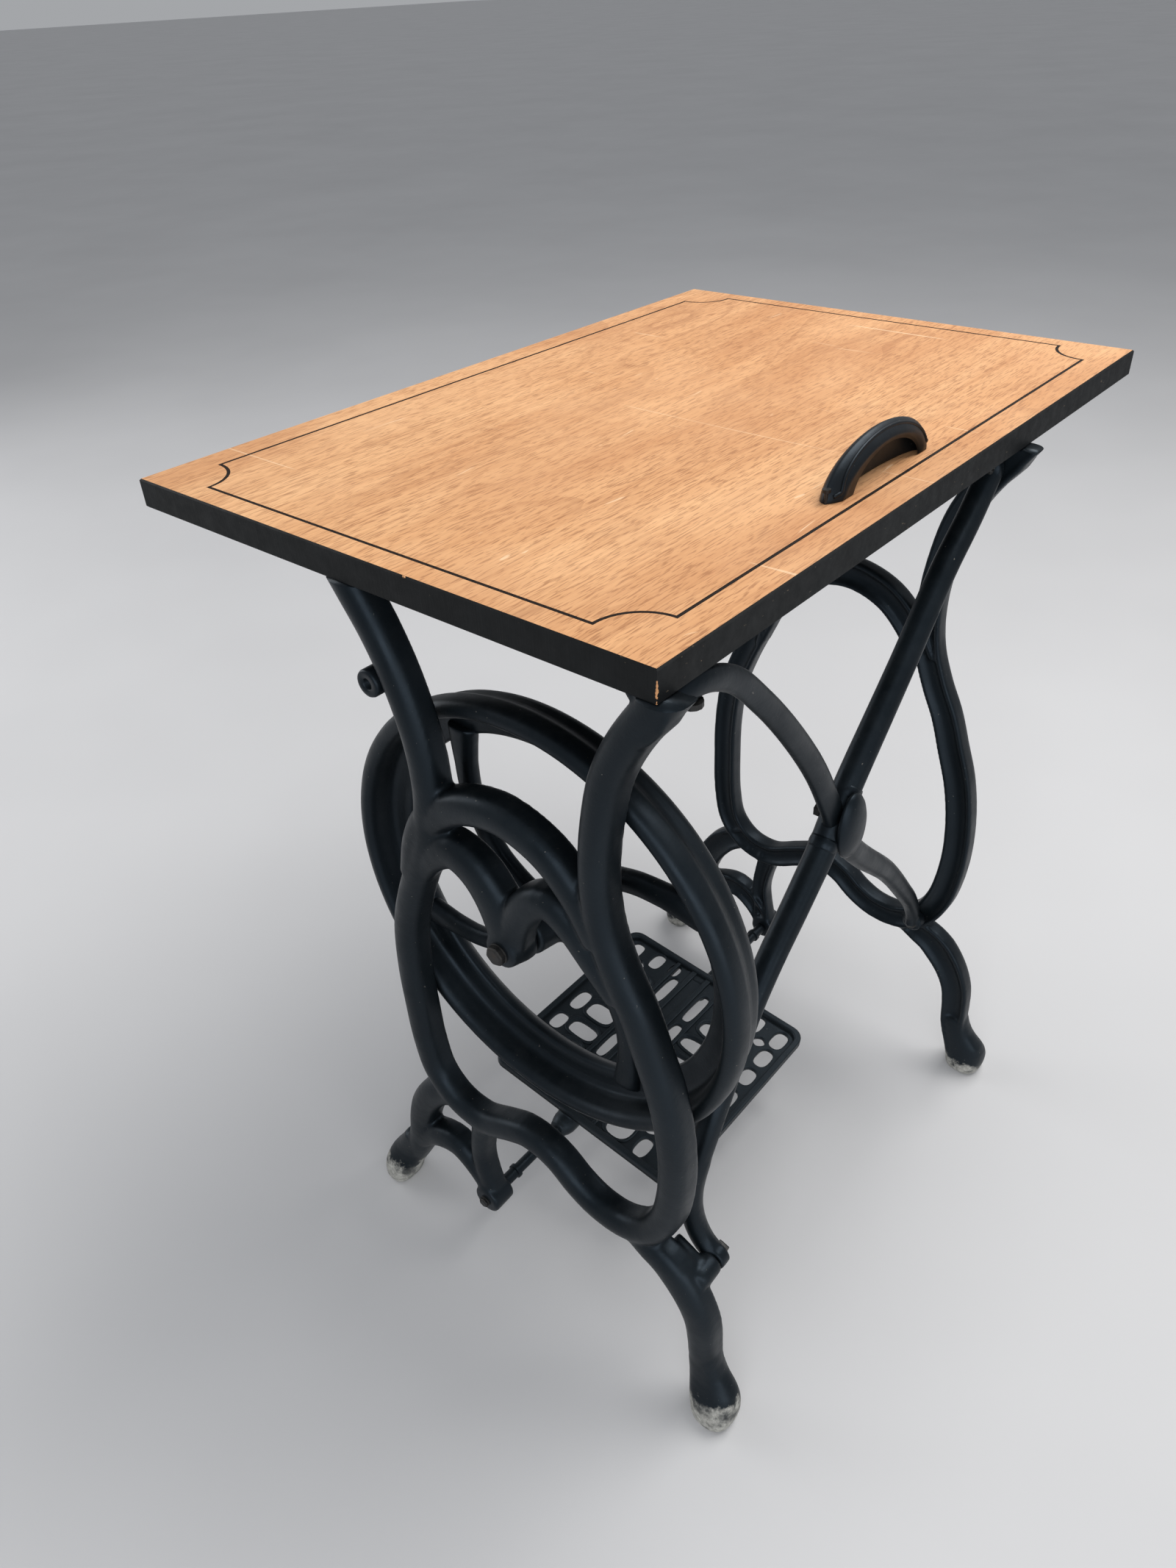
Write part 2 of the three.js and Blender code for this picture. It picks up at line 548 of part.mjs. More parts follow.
piece("band_wheel", bandWheel(), wheelPaint);
const hubLine = [WHEEL.y, WHEEL.z];
const bush = tubeX(HUB.x0 + 0.5, HUB.x1 - 0.5, ...hubLine, WHEEL.boreR - GAP, STUD.r + RUNNING);
piece("wheel_bush", bush, boltSteel);
piece("wheel_washer", tubeX(HUB.x1 + 0.4, BOSS.x0 - GAP, ...hubLine, 15, STUD.r + GAP), boltSteel);
const studHead = rodX(DRIVE_OUTER + GAP, DRIVE_OUTER + STUD.headT, ...hubLine, STUD.headR, STUD.headR, 6);
const studShank = rodX(HUB.x0 - 14, DRIVE_OUTER + 2, ...hubLine, STUD.r);
piece("wheel_stud", studHead.add(studShank), boltSteel);
const wheelNut = rodX(HUB.x0 - 10, HUB.x0 - 0.6, ...hubLine, 12, 12, 6);
const nutBore = rodX(HUB.x0 - 20, HUB.x0 + 5, ...hubLine, STUD.r + GAP, STUD.r + GAP, 16);
piece("wheel_nut", wheelNut.subtract(nutBore), boltSteel);

// ---- cross rod, its end screws, and the treadle ----
const rodLine = [ROD.y, ROD.z];
piece(
  "treadle_rod",
  without(rodX(PLAIN_INNER + GAP, DRIVE_INNER - GAP, ...rodLine, ROD.r), [
    boltHole(PLAIN_INNER - 1, PLAIN_INNER + 14, rodLine),
    boltHole(DRIVE_INNER - 14, DRIVE_INNER + 1, rodLine),
  ]),
  boltSteel,
);
boltX("rod_screw_drive", DRIVE_OUTER + GAP, -1, FRAME.depth + 10, rodLine, 14);
boltX("rod_screw_plain", PLAIN_OUTER - GAP, 1, FRAME.depth + 10, rodLine, 14);

function roundedOutline(x0, x1, y0, y1, r, path = new THREE.Shape()) {
  path.absarc(x1 - r, y1 - r, r, 0, Math.PI / 2);
  path.absarc(x0 + r, y1 - r, r, Math.PI / 2, Math.PI);
  path.absarc(x0 + r, y0 + r, r, Math.PI, 1.5 * Math.PI);
  path.absarc(x1 - r, y0 + r, r, 1.5 * Math.PI, 2 * Math.PI);
  return path;
}

// Openings of the tread plate as [x0, x1, y0, y1] from the plate's middle and the rod line.
function treadOpenings() {
  const holes = [];
  const columns = [[-113, -68], [-60, -23], [-15, 15], [23, 60], [68, 113]];
  const rows = [[-92, -54], [-46, -20], [14, 42], [50, 84], [92, 125]];
  for (const [x0, x1] of columns) {
    for (const [y0, y1] of rows) {
      holes.push([x0, x1, y0, y1]);
    }
  }
  return holes;
}

function treadle() {
  const middle = (PEDAL.x0 + PEDAL.x1) / 2;
  const half = (PEDAL.x1 - PEDAL.x0) / 2;
  const plate = roundedOutline(-half, half, PEDAL.y0, PEDAL.y1, 16);
  for (const [x0, x1, y0, y1] of treadOpenings()) {
    plate.holes.push(roundedOutline(x0, x1, y0, y1, Math.min(x1 - x0, y1 - y0) / 2 - 1, new THREE.Path()));
  }
  const rim = roundedOutline(-half, half, PEDAL.y0, PEDAL.y1, 16);
  rim.holes.push(roundedOutline(-half + 7, half - 7, PEDAL.y0 + 7, PEDAL.y1 - 7, 10, new THREE.Path()));
  const flatParts = [[plate, PEDAL.plate], [rim, PEDAL.rim]].map(([shape, depth]) => {
    const geometry = new THREE.ExtrudeGeometry(shape, { depth, bevelEnabled: false, curveSegments: 2 });
    geometry.translate(0, 0, PEDAL.rise - PEDAL.plate);
    geometry.rotateX(THREE.MathUtils.degToRad(PEDAL.tilt));
    return solid(geometry);
  });
  const lugs = [-1, 1].flatMap((s) => {
    const [inner, outer] = [half - 12, half + 12];
    const [x0, x1] = s > 0 ? [inner, outer] : [-outer, -inner];
    const [r0, r1] = s > 0 ? [13, 9.5] : [9.5, 13];
    return [rodX(x0, x1, 0, 0, r0, r1), block(s > 0 ? inner : -half, s > 0 ? half : -inner, -9, 9, 4, 17)];
  });
  const bore = rodX(-half - 30, half + 30, 0, 0, ROD.r + RUNNING);
  const body = joined([...flatParts, ...lugs]).subtract(bore);
  return body.translate([middle, ROD.y, ROD.z]);
}

piece("treadle_pedal", treadle(), castPaint);

// ---- bring the origin under the middle of the bounding box ----
const FOOT_OUTER = FRAME.driveX + FOOT.outer;
table.position.set(-(FOOT_OUTER - TOP.length / 2) / 2, -(FOOT.back - TOP.depth / 2) / 2, 0);

const root = new THREE.Group();
root.add(table);
export default root;
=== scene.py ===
"""Treadle sewing table: wooden top, cast end frames, X brace, band wheel and fretwork treadle.

Sizes are written in millimetres in the layout frame, whose origin is the floor point under the middle of
the top, and at() turns them into metres in the row frame.
"""

import math

import bmesh
import bpy
from mathutils import Matrix, Vector


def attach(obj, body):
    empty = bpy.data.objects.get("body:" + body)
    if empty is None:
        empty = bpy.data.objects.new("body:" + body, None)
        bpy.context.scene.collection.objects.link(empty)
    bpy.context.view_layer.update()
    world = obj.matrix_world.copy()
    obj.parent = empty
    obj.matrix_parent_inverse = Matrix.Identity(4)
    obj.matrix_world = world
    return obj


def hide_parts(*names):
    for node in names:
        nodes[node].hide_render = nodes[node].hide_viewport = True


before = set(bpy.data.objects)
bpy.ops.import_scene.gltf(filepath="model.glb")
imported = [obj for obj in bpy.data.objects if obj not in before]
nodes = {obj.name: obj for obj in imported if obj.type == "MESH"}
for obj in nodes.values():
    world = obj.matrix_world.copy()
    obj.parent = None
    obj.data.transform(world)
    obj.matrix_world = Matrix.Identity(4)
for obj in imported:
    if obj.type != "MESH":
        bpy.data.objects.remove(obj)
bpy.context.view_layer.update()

SHIFT = Vector((-8.5, -40.15, 0.0))
MM = 0.001


def at(x, y, z):
    """A point of the layout frame, in metres in the row frame."""
    return (Vector((x, y, z)) + SHIFT) * MM


# The board's upper corner between the wheel end and the long side with the pull.
CORNER = at(370, 252.7, 740)


# ---------------------------------------------------------------- geometry helpers
def smooth_path(points, steps):
    """Centripetal Catmull-Rom through the points, as steps + 1 evenly spread points and their shares."""
    pts = [Vector(p) for p in points]
    pts = [pts[0] * 2 - pts[1]] + pts + [pts[-1] * 2 - pts[-2]]
    dense = []
    for i in range(1, len(pts) - 2):
        p0, p1, p2, p3 = pts[i - 1 : i + 3]
        t0 = 0.0
        t1 = t0 + max((p1 - p0).length, 1e-6) ** 0.5
        t2 = t1 + max((p2 - p1).length, 1e-6) ** 0.5
        t3 = t2 + max((p3 - p2).length, 1e-6) ** 0.5
        for k in range(16):
            t = t1 + (t2 - t1) * k / 16
            a1 = p0 * ((t1 - t) / (t1 - t0)) + p1 * ((t - t0) / (t1 - t0))
            a2 = p1 * ((t2 - t) / (t2 - t1)) + p2 * ((t - t1) / (t2 - t1))
            a3 = p2 * ((t3 - t) / (t3 - t2)) + p3 * ((t - t2) / (t3 - t2))
            b1 = a1 * ((t2 - t) / (t2 - t0)) + a2 * ((t - t0) / (t2 - t0))
            b2 = a2 * ((t3 - t) / (t3 - t1)) + a3 * ((t - t1) / (t3 - t1))
            dense.append(b1 * ((t2 - t) / (t2 - t1)) + b2 * ((t - t1) / (t2 - t1)))
    dense.append(pts[-2].copy())
    lengths = [0.0]
    for a, b in zip(dense, dense[1:]):
        lengths.append(lengths[-1] + (b - a).length)
    out = []
    j = 0
    for k in range(steps + 1):
        want = lengths[-1] * k / steps
        while j < len(lengths) - 2 and lengths[j + 1] < want:
            j += 1
        share = (want - lengths[j]) / max(lengths[j + 1] - lengths[j], 1e-9)
        out.append((dense[j].lerp(dense[j + 1], min(max(share, 0), 1)), k / steps))
    return out


def spread(values, share):
    """The value at a share of the way along a list of evenly spaced values."""
    if not isinstance(values, (list, tuple)):
        return values
    place = share * (len(values) - 1)
    i = min(int(place), len(values) - 2)
    return values[i] + (values[i + 1] - values[i]) * (place - i)


def rings_to(bm, rings, close_path=False):
    """Skins a row of rings. The row is capped at both ends, or joined to itself as a closed path."""
    made = [[bm.verts.new(v) for v in ring] for ring in rings]
    count = len(made[0])
    pairs = list(zip(made, made[1:])) + ([(made[-1], made[0])] if close_path else [])
    for a, b in pairs:
        for i in range(count):
            j = (i + 1) % count
            bm.faces.new((a[i], a[j], b[j], b[i]))
    if not close_path:
        bm.faces.new(list(reversed(made[0])))
        bm.faces.new(made[-1])


def cast_section(width, depth, valley):
    """A half-round casting, crowned outside (+a) and hollowed inside, as (a, b) points."""
    w, d = width / 2, depth / 2
    pts = []
    for k in range(13):
        angle = -math.pi / 2 + math.pi * k / 12
        pts.append((d * math.cos(angle) ** 0.85 if k not in (0, 12) else 0.0, w * math.sin(angle)))
    pts += [(-d + 3, w), (-d + 0.6, w - 1), (-d, w - 3.2)]
    pts += [(-d + valley * 0.75, w * 0.45), (-d + valley, 0), (-d + valley * 0.75, -w * 0.45)]
    pts += [(-d, -w + 3.2), (-d + 0.6, -w + 1), (-d + 3, -w)]
    return pts


def round_section(half_a, half_b, power, count):
    """A superellipse as (a, b) points: power 2 is an ellipse, and more is squarer."""
    pts = []
    for k in range(count):
        c, s = math.cos(2 * math.pi * k / count), math.sin(2 * math.pi * k / count)
        pts.append(
            (
                half_a * math.copysign(abs(c) ** (2 / power), c),
                half_b * math.copysign(abs(s) ** (2 / power), s),
            )
        )
    return pts


def member(bm, points, x, outwards, width, depth=26, valley=6.5):
    """Sweeps the casting section along a line in the plane of an end frame.

    outwards is +1 or -1 along X. width and depth are one size, or sizes spread along the line.
    """
    route = [Vector((x, y, z)) for y, z in points]
    length = sum((b - a).length for a, b in zip(route, route[1:]))
    path = smooth_path(route, max(6, int(length / 7)))
    rings = []
    for i, (p, share) in enumerate(path):
        ahead = path[min(i + 1, len(path) - 1)][0] - path[max(i - 1, 0)][0]
        across = ahead.normalized().cross(Vector((1, 0, 0)))
        section = cast_section(spread(width, share), spread(depth, share), valley)
        rings.append([at(*(p + Vector((a * outwards, 0, 0)) + across * b)) for a, b in section])
    rings_to(bm, rings)


def bar(bm, points, section, steps, first=Vector((0, -1, 0))):
    """Sweeps a section along a free curve. section(share) gives (a, b) points, a towards first."""
    path = smooth_path(points, steps)
    normal = first.copy()
    rings = []
    for i, (p, share) in enumerate(path):
        tangent = (path[min(i + 1, len(path) - 1)][0] - path[max(i - 1, 0)][0]).normalized()
        normal = (normal - tangent * normal.dot(tangent)).normalized()
        across = tangent.cross(normal)
        rings.append([at(*(p + normal * a + across * b)) for a, b in section(share)])
    rings_to(bm, rings)


def turned(bm, profile, centre, count=48, closed=False):
    """A turned part about a line along X, from a profile of (x, radius) in order, closed or capped."""
    y, z = centre
    rings = []
    for x, r in profile:
        ring = []
        for k in range(count):
            angle = 2 * math.pi * k / count
            ring.append(at(x, y + r * math.cos(angle), z + r * math.sin(angle)))
        rings.append(ring)
    rings_to(bm, rings, close_path=closed)


def foot(bm, rows, x, outwards):
    """A foot as level rings, from rows of (z, low y, high y, reach inwards, reach outwards)."""
    rings = []
    for z, y0, y1, inner, outer in rows:
        middle = x + outwards * (outer - inner) / 2
        ring = round_section((inner + outer) / 2, (y1 - y0) / 2, 2.5, 28)
        rings.append([at(middle + a, (y0 + y1) / 2 + b, z) for a, b in ring])
    rings_to(bm, rings)


def plate(bm, outline, x, half):
    """An outline in the plane of an end frame, given thickness along X, with softened arrises."""
    rings = []
    cy = sum(y for y, z in outline) / len(outline)
    cz = sum(z for y, z in outline) / len(outline)
    for reach, size in ((-half, 0.93), (-half + 2, 1.0), (half - 3, 1.0), (half, 0.9)):
        rings.append([at(x + reach, cy + (y - cy) * size, cz + (z - cz) * size) for y, z in outline])
    rings_to(bm, rings)


def to_object(name, bm, body, material, smooth=True):
    """Makes the mesh an object with a material, and gives it to a body."""
    bmesh.ops.recalc_face_normals(bm, faces=bm.faces)
    mesh = bpy.data.meshes.new(name)
    bm.to_mesh(mesh)
    bm.free()
    obj = bpy.data.objects.new(name, mesh)
    bpy.context.scene.collection.objects.link(obj)
    mesh.materials.append(material)
    if smooth:
        for face in mesh.polygons:
            face.use_smooth = True
    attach(obj, body)
    return obj


def bake_modifiers(obj):
    """Turns what the modifiers make into the object's own mesh."""
    graph = bpy.context.evaluated_depsgraph_get()
    done = bpy.data.meshes.new_from_object(obj.evaluated_get(graph))
    materials = [slot.material for slot in obj.material_slots]
    obj.modifiers.clear()
    obj.data = done
    obj.data.materials.clear()
    for material in materials:
        obj.data.materials.append(material)
    for face in obj.data.polygons:
        face.use_smooth = True


def fuse(obj, voxel, relax, top=None):
    """Melts overlapping forms into one casting with small fillets, cut off flat at the height top.

    voxel is the size of the remesh in millimetres, and relax how many times it is smoothed.
    """
    remesh = obj.modifiers.new("fuse", "REMESH")
    remesh.mode = "VOXEL"
    remesh.voxel_size = voxel * MM
    remesh.adaptivity = 0.0
    soft = obj.modifiers.new("soft", "SMOOTH")
    soft.factor = 0.5
    soft.iterations = relax
    bake_modifiers(obj)
    if top is None:
        return
    bm = bmesh.new()
    bm.from_mesh(obj.data)
    everything = bm.verts[:] + bm.edges[:] + bm.faces[:]
    cut = bmesh.ops.bisect_plane(
        bm, geom=everything, plane_co=(0, 0, top * MM), plane_no=(0, 0, 1), clear_outer=True
    )
    rim = [part for part in cut["geom_cut"] if isinstance(part, bmesh.types.BMEdge)]
    bmesh.ops.holes_fill(bm, edges=rim)
    bm.to_mesh(obj.data)
    bm.free()


# ---------------------------------------------------------------- material helpers
class Nodes:
    """A material under construction: each method adds a node and returns its output."""

    def __init__(self, name):
        self.material = bpy.data.materials.new(name)
        self.material.use_nodes = True
        self.tree = self.material.node_tree
        self.shader = self.tree.nodes["Principled BSDF"]
        self.coords = self.tree.nodes.new("ShaderNodeTexCoord").outputs["Object"]

    def add(self, kind, **settings):
        node = self.tree.nodes.new(kind)
        for key, value in settings.items():
            setattr(node, key, value)
        return node

    def link(self, a, b):
        self.tree.links.new(a, b)

    def scaled(self, scale, offset=(0, 0, 0)):
        node = self.add("ShaderNodeMapping")
        node.inputs["Scale"].default_value = scale
        node.inputs["Location"].default_value = offset
        self.link(self.coords, node.inputs["Vector"])
        return node.outputs["Vector"]

    def noise(self, vector, scale, detail=4, rough=0.55, distort=0.0):
        node = self.add("ShaderNodeTexNoise")
        node.inputs["Scale"].default_value = scale
        node.inputs["Detail"].default_value = detail
        node.inputs["Roughness"].default_value = rough
        node.inputs["Distortion"].default_value = distort
        self.link(vector, node.inputs["Vector"])
        return node.outputs["Fac"]

    def ramp(self, value, stops):
        node = self.add("ShaderNodeValToRGB")
        elements = node.color_ramp.elements
        while len(elements) < len(stops):
            elements.new(0.5)
        for element, (place, color) in zip(elements, stops):
            element.position = place
            element.color = (*color, 1) if isinstance(color, tuple) else (color, color, color, 1)
        self.link(value, node.inputs["Fac"])
        return node.outputs["Color"]

    def math(self, kind, a, b=None, clamp=False):
        node = self.add("ShaderNodeMath", operation=kind, use_clamp=clamp)
        for socket, value in zip(node.inputs, (a, b)):
            if value is None:
                continue
            if isinstance(value, (int, float)):
                socket.default_value = value
            else:
                self.link(value, socket)
        return node.outputs["Value"]

    def mix(self, share, a, b):
        node = self.add("ShaderNodeMix", data_type="RGBA", blend_type="MIX")
        sockets = [s for s in node.inputs if s.type == "RGBA"]
        factor = [s for s in node.inputs if s.type == "VALUE"][0]
        for socket, value in ((factor, share), (sockets[0], a), (sockets[1], b)):
            if isinstance(value, tuple):
                socket.default_value = (*value, 1)
            elif isinstance(value, (int, float)):
                socket.default_value = value
            else:
                self.link(value, socket)
        return [s for s in node.outputs if s.type == "RGBA"][0]

    def xyz(self):
        node = self.add("ShaderNodeSeparateXYZ")
        self.link(self.coords, node.inputs["Vector"])
        return node.outputs

    def normal(self):
        node = self.add("ShaderNodeSeparateXYZ")
        self.link(self.add("ShaderNodeNewGeometry").outputs["Normal"], node.inputs["Vector"])
        return node.outputs

    def bump(self, height, strength, distance):
        node = self.add("ShaderNodeBump")
        node.inputs["Strength"].default_value = strength
        node.inputs["Distance"].default_value = distance
        self.link(height, node.inputs["Height"])
        self.link(node.outputs["Normal"], self.shader.inputs["Normal"])

    def base(self, color):
        self.link(color, self.shader.inputs["Base Color"])

    def rough(self, value):
        self.link(value, self.shader.inputs["Roughness"])


IRON_DARK = (0.0018, 0.0028, 0.0036)
IRON_LIGHT = (0.0052, 0.0074, 0.0092)


def cast_paint(name, dark=IRON_DARK, light=IRON_LIGHT, feet=False, grain=1.0):
    """Satin black paint over a rough casting, with dust and pale specks, and worn chalky feet if asked."""
    n = Nodes(name)
    plain = n.scaled((1, 1, 1))
    cloud = n.noise(plain, 9, 5)
    fine = n.noise(plain, 420, 3)
    color = n.mix(n.ramp(cloud, [(0.3, 0.0), (0.72, 1.0)]), dark, light)
    up = n.math("MULTIPLY", n.normal()["Z"], 1.0, clamp=True)
    dust = n.math("MULTIPLY", up, n.ramp(n.noise(plain, 60, 6, 0.7), [(0.42, 0.0), (0.75, 0.35)]))
    color = n.mix(dust, color, (0.02, 0.022, 0.023))
    specks = n.ramp(n.noise(plain, 420, 2, 0.4), [(0.765, 0.0), (0.785, 0.7)])
    color = n.mix(specks, color, (0.16, 0.15, 0.13))
    rough = n.ramp(n.noise(plain, 45, 5, 0.6), [(0.3, 0.34), (0.75, 0.5)])
    if feet:
        edge = n.noise(plain, 55, 6, 0.65)
        place = n.xyz()
        # the worn band on the feet is lower on the frame away from the wheel
        fading = n.math("MULTIPLY", n.math("SUBTRACT", 0.35, place["X"]), 0.028)
        height = n.math("ADD", place["Z"], n.math("MULTIPLY", n.math("SUBTRACT", edge, 0.5), 0.055))
        height = n.math("ADD", height, fading)
        scuff = n.ramp(n.math("MULTIPLY", height, 10), [(0.25, 1.0), (0.32, 0.0)])
        holding = n.ramp(n.noise(plain, 42, 4, 0.6), [(0.38, 0.2), (0.5, 1.0)])
        scuff = n.math("MULTIPLY", scuff, holding)
        grains = n.noise(plain, 190, 5, 0.7)
        chalk = n.ramp(grains, [(0.3, (0.17, 0.167, 0.155)), (0.66, (0.44, 0.435, 0.4))])
        color = n.mix(scuff, color, chalk)
        rough = n.mix(scuff, rough, (0.85, 0.85, 0.85))
    n.base(color)
    n.rough(rough)
    n.shader.inputs["Specular IOR Level"].default_value = 0.26
    n.shader.inputs["Specular Tint"].default_value = (0.62, 0.8, 1.0, 1)
    height = n.math("ADD", n.math("MULTIPLY", fine, 0.35), n.math("MULTIPLY", n.noise(plain, 110, 4), 0.65))
    n.bump(height, 0.32 * grain, 0.0007)
    return n.material


def oxidised_steel(name):
    """Dark steel fixings with brown patches."""
    n = Nodes(name)
    plain = n.scaled((1, 1, 1))
    cloud = n.noise(plain, 120, 5)
    shades = [(0.3, (0.008, 0.009, 0.01)), (0.62, (0.028, 0.027, 0.026)), (0.8, (0.045, 0.034, 0.027))]
    n.base(n.ramp(cloud, shades))
    n.rough(n.ramp(cloud, [(0.3, 0.34), (0.7, 0.62)]))
    n.shader.inputs["Metallic"].default_value = 0.55
    n.bump(n.noise(plain, 700, 3), 0.3, 0.0004)
    return n.material


def top_wood(name):
    """Pale wood with its grain along X, worn varnish and scratches, and black painted edges."""
    n = Nodes(name)
    warp = n.noise(n.scaled((1.0, 2.6, 1.0)), 2.1, 3, 0.5)
    offset = n.add("ShaderNodeCombineXYZ")
    n.link(n.math("MULTIPLY", n.math("SUBTRACT", warp, 0.5), 0.2), offset.inputs["Y"])
    moved = n.add("ShaderNodeVectorMath", operation="ADD")
    n.link(n.coords, moved.inputs[0])
    n.link(offset.outputs["Vector"], moved.inputs[1])

    def along(sx, sy):
        node = n.add("ShaderNodeMapping")
        node.inputs["Scale"].default_value = (sx, sy, 1)
        n.link(moved.outputs["Vector"], node.inputs["Vector"])
        return node.outputs["Vector"]

    straight = n.scaled((1, 1, 1))
    figure = n.noise(along(1.6, 15), 1.0, 5, 0.55, 0.3)
    lines = n.noise(n.scaled((4, 300, 1)), 1.0, 4, 0.6)
    streaks = n.noise(n.scaled((1.6, 70, 1)), 1.0, 4, 0.6)
    pores = n.noise(n.scaled((75, 800, 1)), 1.0, 2, 0.5)
    color = n.ramp(
        figure,
        [
            (0.3, (0.62, 0.305, 0.135)),
            (0.47, (0.72, 0.385, 0.182)),
            (0.62, (0.77, 0.43, 0.21)),
            (0.8, (0.83, 0.495, 0.255)),
        ],
    )
    color = n.mix(n.ramp(streaks, [(0.36, 0.3), (0.56, 0.0)]), color, (0.50, 0.222, 0.09))
    color = n.mix(n.ramp(lines, [(0.36, 0.34), (0.52, 0.0)]), color, (0.42, 0.178, 0.07))
    color = n.mix(n.ramp(pores, [(0.38, 0.6), (0.47, 0.0)]), color, (0.28, 0.108, 0.042))
    # the arched lines of the flat-sawn middle, as contours of a slow noise
    slow = n.noise(along(1.1, 4.2), 1.0, 3, 0.45)
    contour = n.math("FRACT", n.math("MULTIPLY", slow, 17))
    middle = n.ramp(n.noise(straight, 2.6, 2, 0.5), [(0.44, 0.0), (0.6, 0.42)])
    rings = n.math("MULTIPLY", n.ramp(contour, [(0.0, 1.0), (0.2, 0.0)]), middle)
    color = n.mix(rings, color, (0.36, 0.15, 0.062))
    patch = n.noise(straight, 6.5, 4, 0.6)
    color = n.mix(n.ramp(patch, [(0.45, 0.0), (0.74, 0.3)]), color, (0.88, 0.56, 0.32))
    tan = n.ramp(n.noise(n.scaled((1.0, 1.7, 1), (2.1, 0.6, 0)), 4.2, 4, 0.6), [(0.46, 0.0), (0.72, 0.45)])
    color = n.mix(tan, color, (0.50, 0.225, 0.10))
    stain = n.ramp(n.noise(n.scaled((1.2, 2.2, 1)), 11, 3, 0.5), [(0.66, 0.0), (0.78, 0.42)])
    color = n.mix(stain, color, (0.22, 0.088, 0.04))
    scratch_a = n.noise(n.scaled((95, 3.2, 1), (0.3, 0.1, 0)), 1.0, 2, 0.4, 1.2)
    scratch_b = n.noise(n.scaled((9, 60, 1), (0.7, 0.4, 0)), 1.0, 2, 0.4, 2.2)
    marks = n.math(
        "MAXIMUM",
        n.ramp(scratch_a, [(0.735, 0.0), (0.76, 0.5)]),
        n.ramp(scratch_b, [(0.75, 0.0), (0.775, 0.55)]),
    )
    color = n.mix(marks, color, (0.93, 0.68, 0.44))

    # black paint on the edges, chipped along the arris to pale wood
    place = n.xyz()
    normal = n.normal()
    flat = n.math("GREATER_THAN", normal["Z"], 0.9)
    near_top = n.math("SUBTRACT", CORNER.z, place["Z"])
    chips = n.noise(n.scaled((1, 1, 1)), 75, 5, 0.7)
    chip_depth = n.math("MULTIPLY", n.math("SUBTRACT", chips, 0.68), 0.024)
    chipped = n.math("LESS_THAN", near_top, n.math("ADD", chip_depth, 0.0004))
    # the upright arris at the corner between the wheel end and the long side with the pull
    off_end = n.math("SUBTRACT", CORNER.x, place["X"])
    off_side = n.math("SUBTRACT", CORNER.y, place["Y"])
    off_corner = n.math("ADD", off_end, off_side)
    worn = n.ramp(n.noise(n.scaled((1, 1, 1)), 140, 4, 0.6), [(0.5, 0.0), (0.62, 1.0)])
    arris = n.math("LESS_THAN", off_corner, n.math("MULTIPLY", worn, 0.0015))
    bare = n.math("MAXIMUM", flat, n.math("MAXIMUM", chipped, arris))
    cloud = n.noise(n.scaled((1, 1, 1)), 30, 5)
    paint = n.ramp(cloud, [(0.3, (0.0014, 0.002, 0.0024)), (0.75, (0.0045, 0.0056, 0.0064))])
    scuffs = n.ramp(n.noise(n.scaled((1, 1, 2.5)), 130, 4, 0.6), [(0.7, 0.0), (0.74, 0.55)])
    paint = n.mix(scuffs, paint, (0.22, 0.17, 0.12))
    n.base(n.mix(bare, paint, color))
    wood_rough = n.ramp(patch, [(0.3, 0.42), (0.7, 0.58)])
    paint_rough = n.ramp(chips, [(0.3, 0.5), (0.7, 0.68)])
    n.rough(n.mix(bare, paint_rough, wood_rough))
    n.shader.inputs["Specular IOR Level"].default_value = 0.2
    relief = n.math("ADD", n.math("MULTIPLY", pores, 0.7), n.math("MULTIPLY", lines, 0.3))
    n.bump(relief, 0.22, 0.0006)
    return n.material


def inlay_wood(name):
    """Dark stringing, rubbed through to paler wood in places."""
    n = Nodes(name)
    wear = n.noise(n.scaled((1, 1, 1)), 70, 4, 0.6)
    shades = [(0.35, (0.006, 0.004, 0.0035)), (0.66, (0.016, 0.009, 0.006)), (0.84, (0.12, 0.06, 0.03))]
    n.base(n.ramp(wear, shades))
    n.rough(n.ramp(wear, [(0.3, 0.45), (0.7, 0.65)]))
    n.shader.inputs["Specular IOR Level"].default_value = 0.12
    n.bump(n.noise(n.scaled((30, 500, 1)), 1.0, 3), 0.3, 0.0004)
    return n.material


def pale_floor(name):
    """A matt, nearly white floor."""
    n = Nodes(name)
    plain = n.scaled((1, 1, 1))
    n.base(n.ramp(n.noise(plain, 1.2, 3), [(0.3, (0.56, 0.56, 0.57)), (0.7, (0.60, 0.60, 0.61))]))
    n.rough(n.ramp(n.noise(plain, 5, 3), [(0.3, 0.62), (0.7, 0.72)]))
    n.bump(n.noise(plain, 90, 3), 0.05, 0.001)
    return n.material


IRON = cast_paint("iron_paint", feet=True)
WHEEL_PAINT = cast_paint("wheel_paint", dark=(0.002, 0.003, 0.0038), light=(0.0056, 0.0078, 0.0096))
TREAD_PAINT = cast_paint("tread_paint", dark=(0.005, 0.007, 0.0085), light=(0.014, 0.0175, 0.02), grain=1.6)
PULL_PAINT = cast_paint(
    "pull_paint", dark=(0.0022, 0.0026, 0.003), light=(0.0058, 0.0066, 0.0074), grain=0.8
)
STEEL = oxidised_steel("dark_steel")
WOOD = top_wood("top_wood")
INLAY = inlay_wood("inlay_wood")

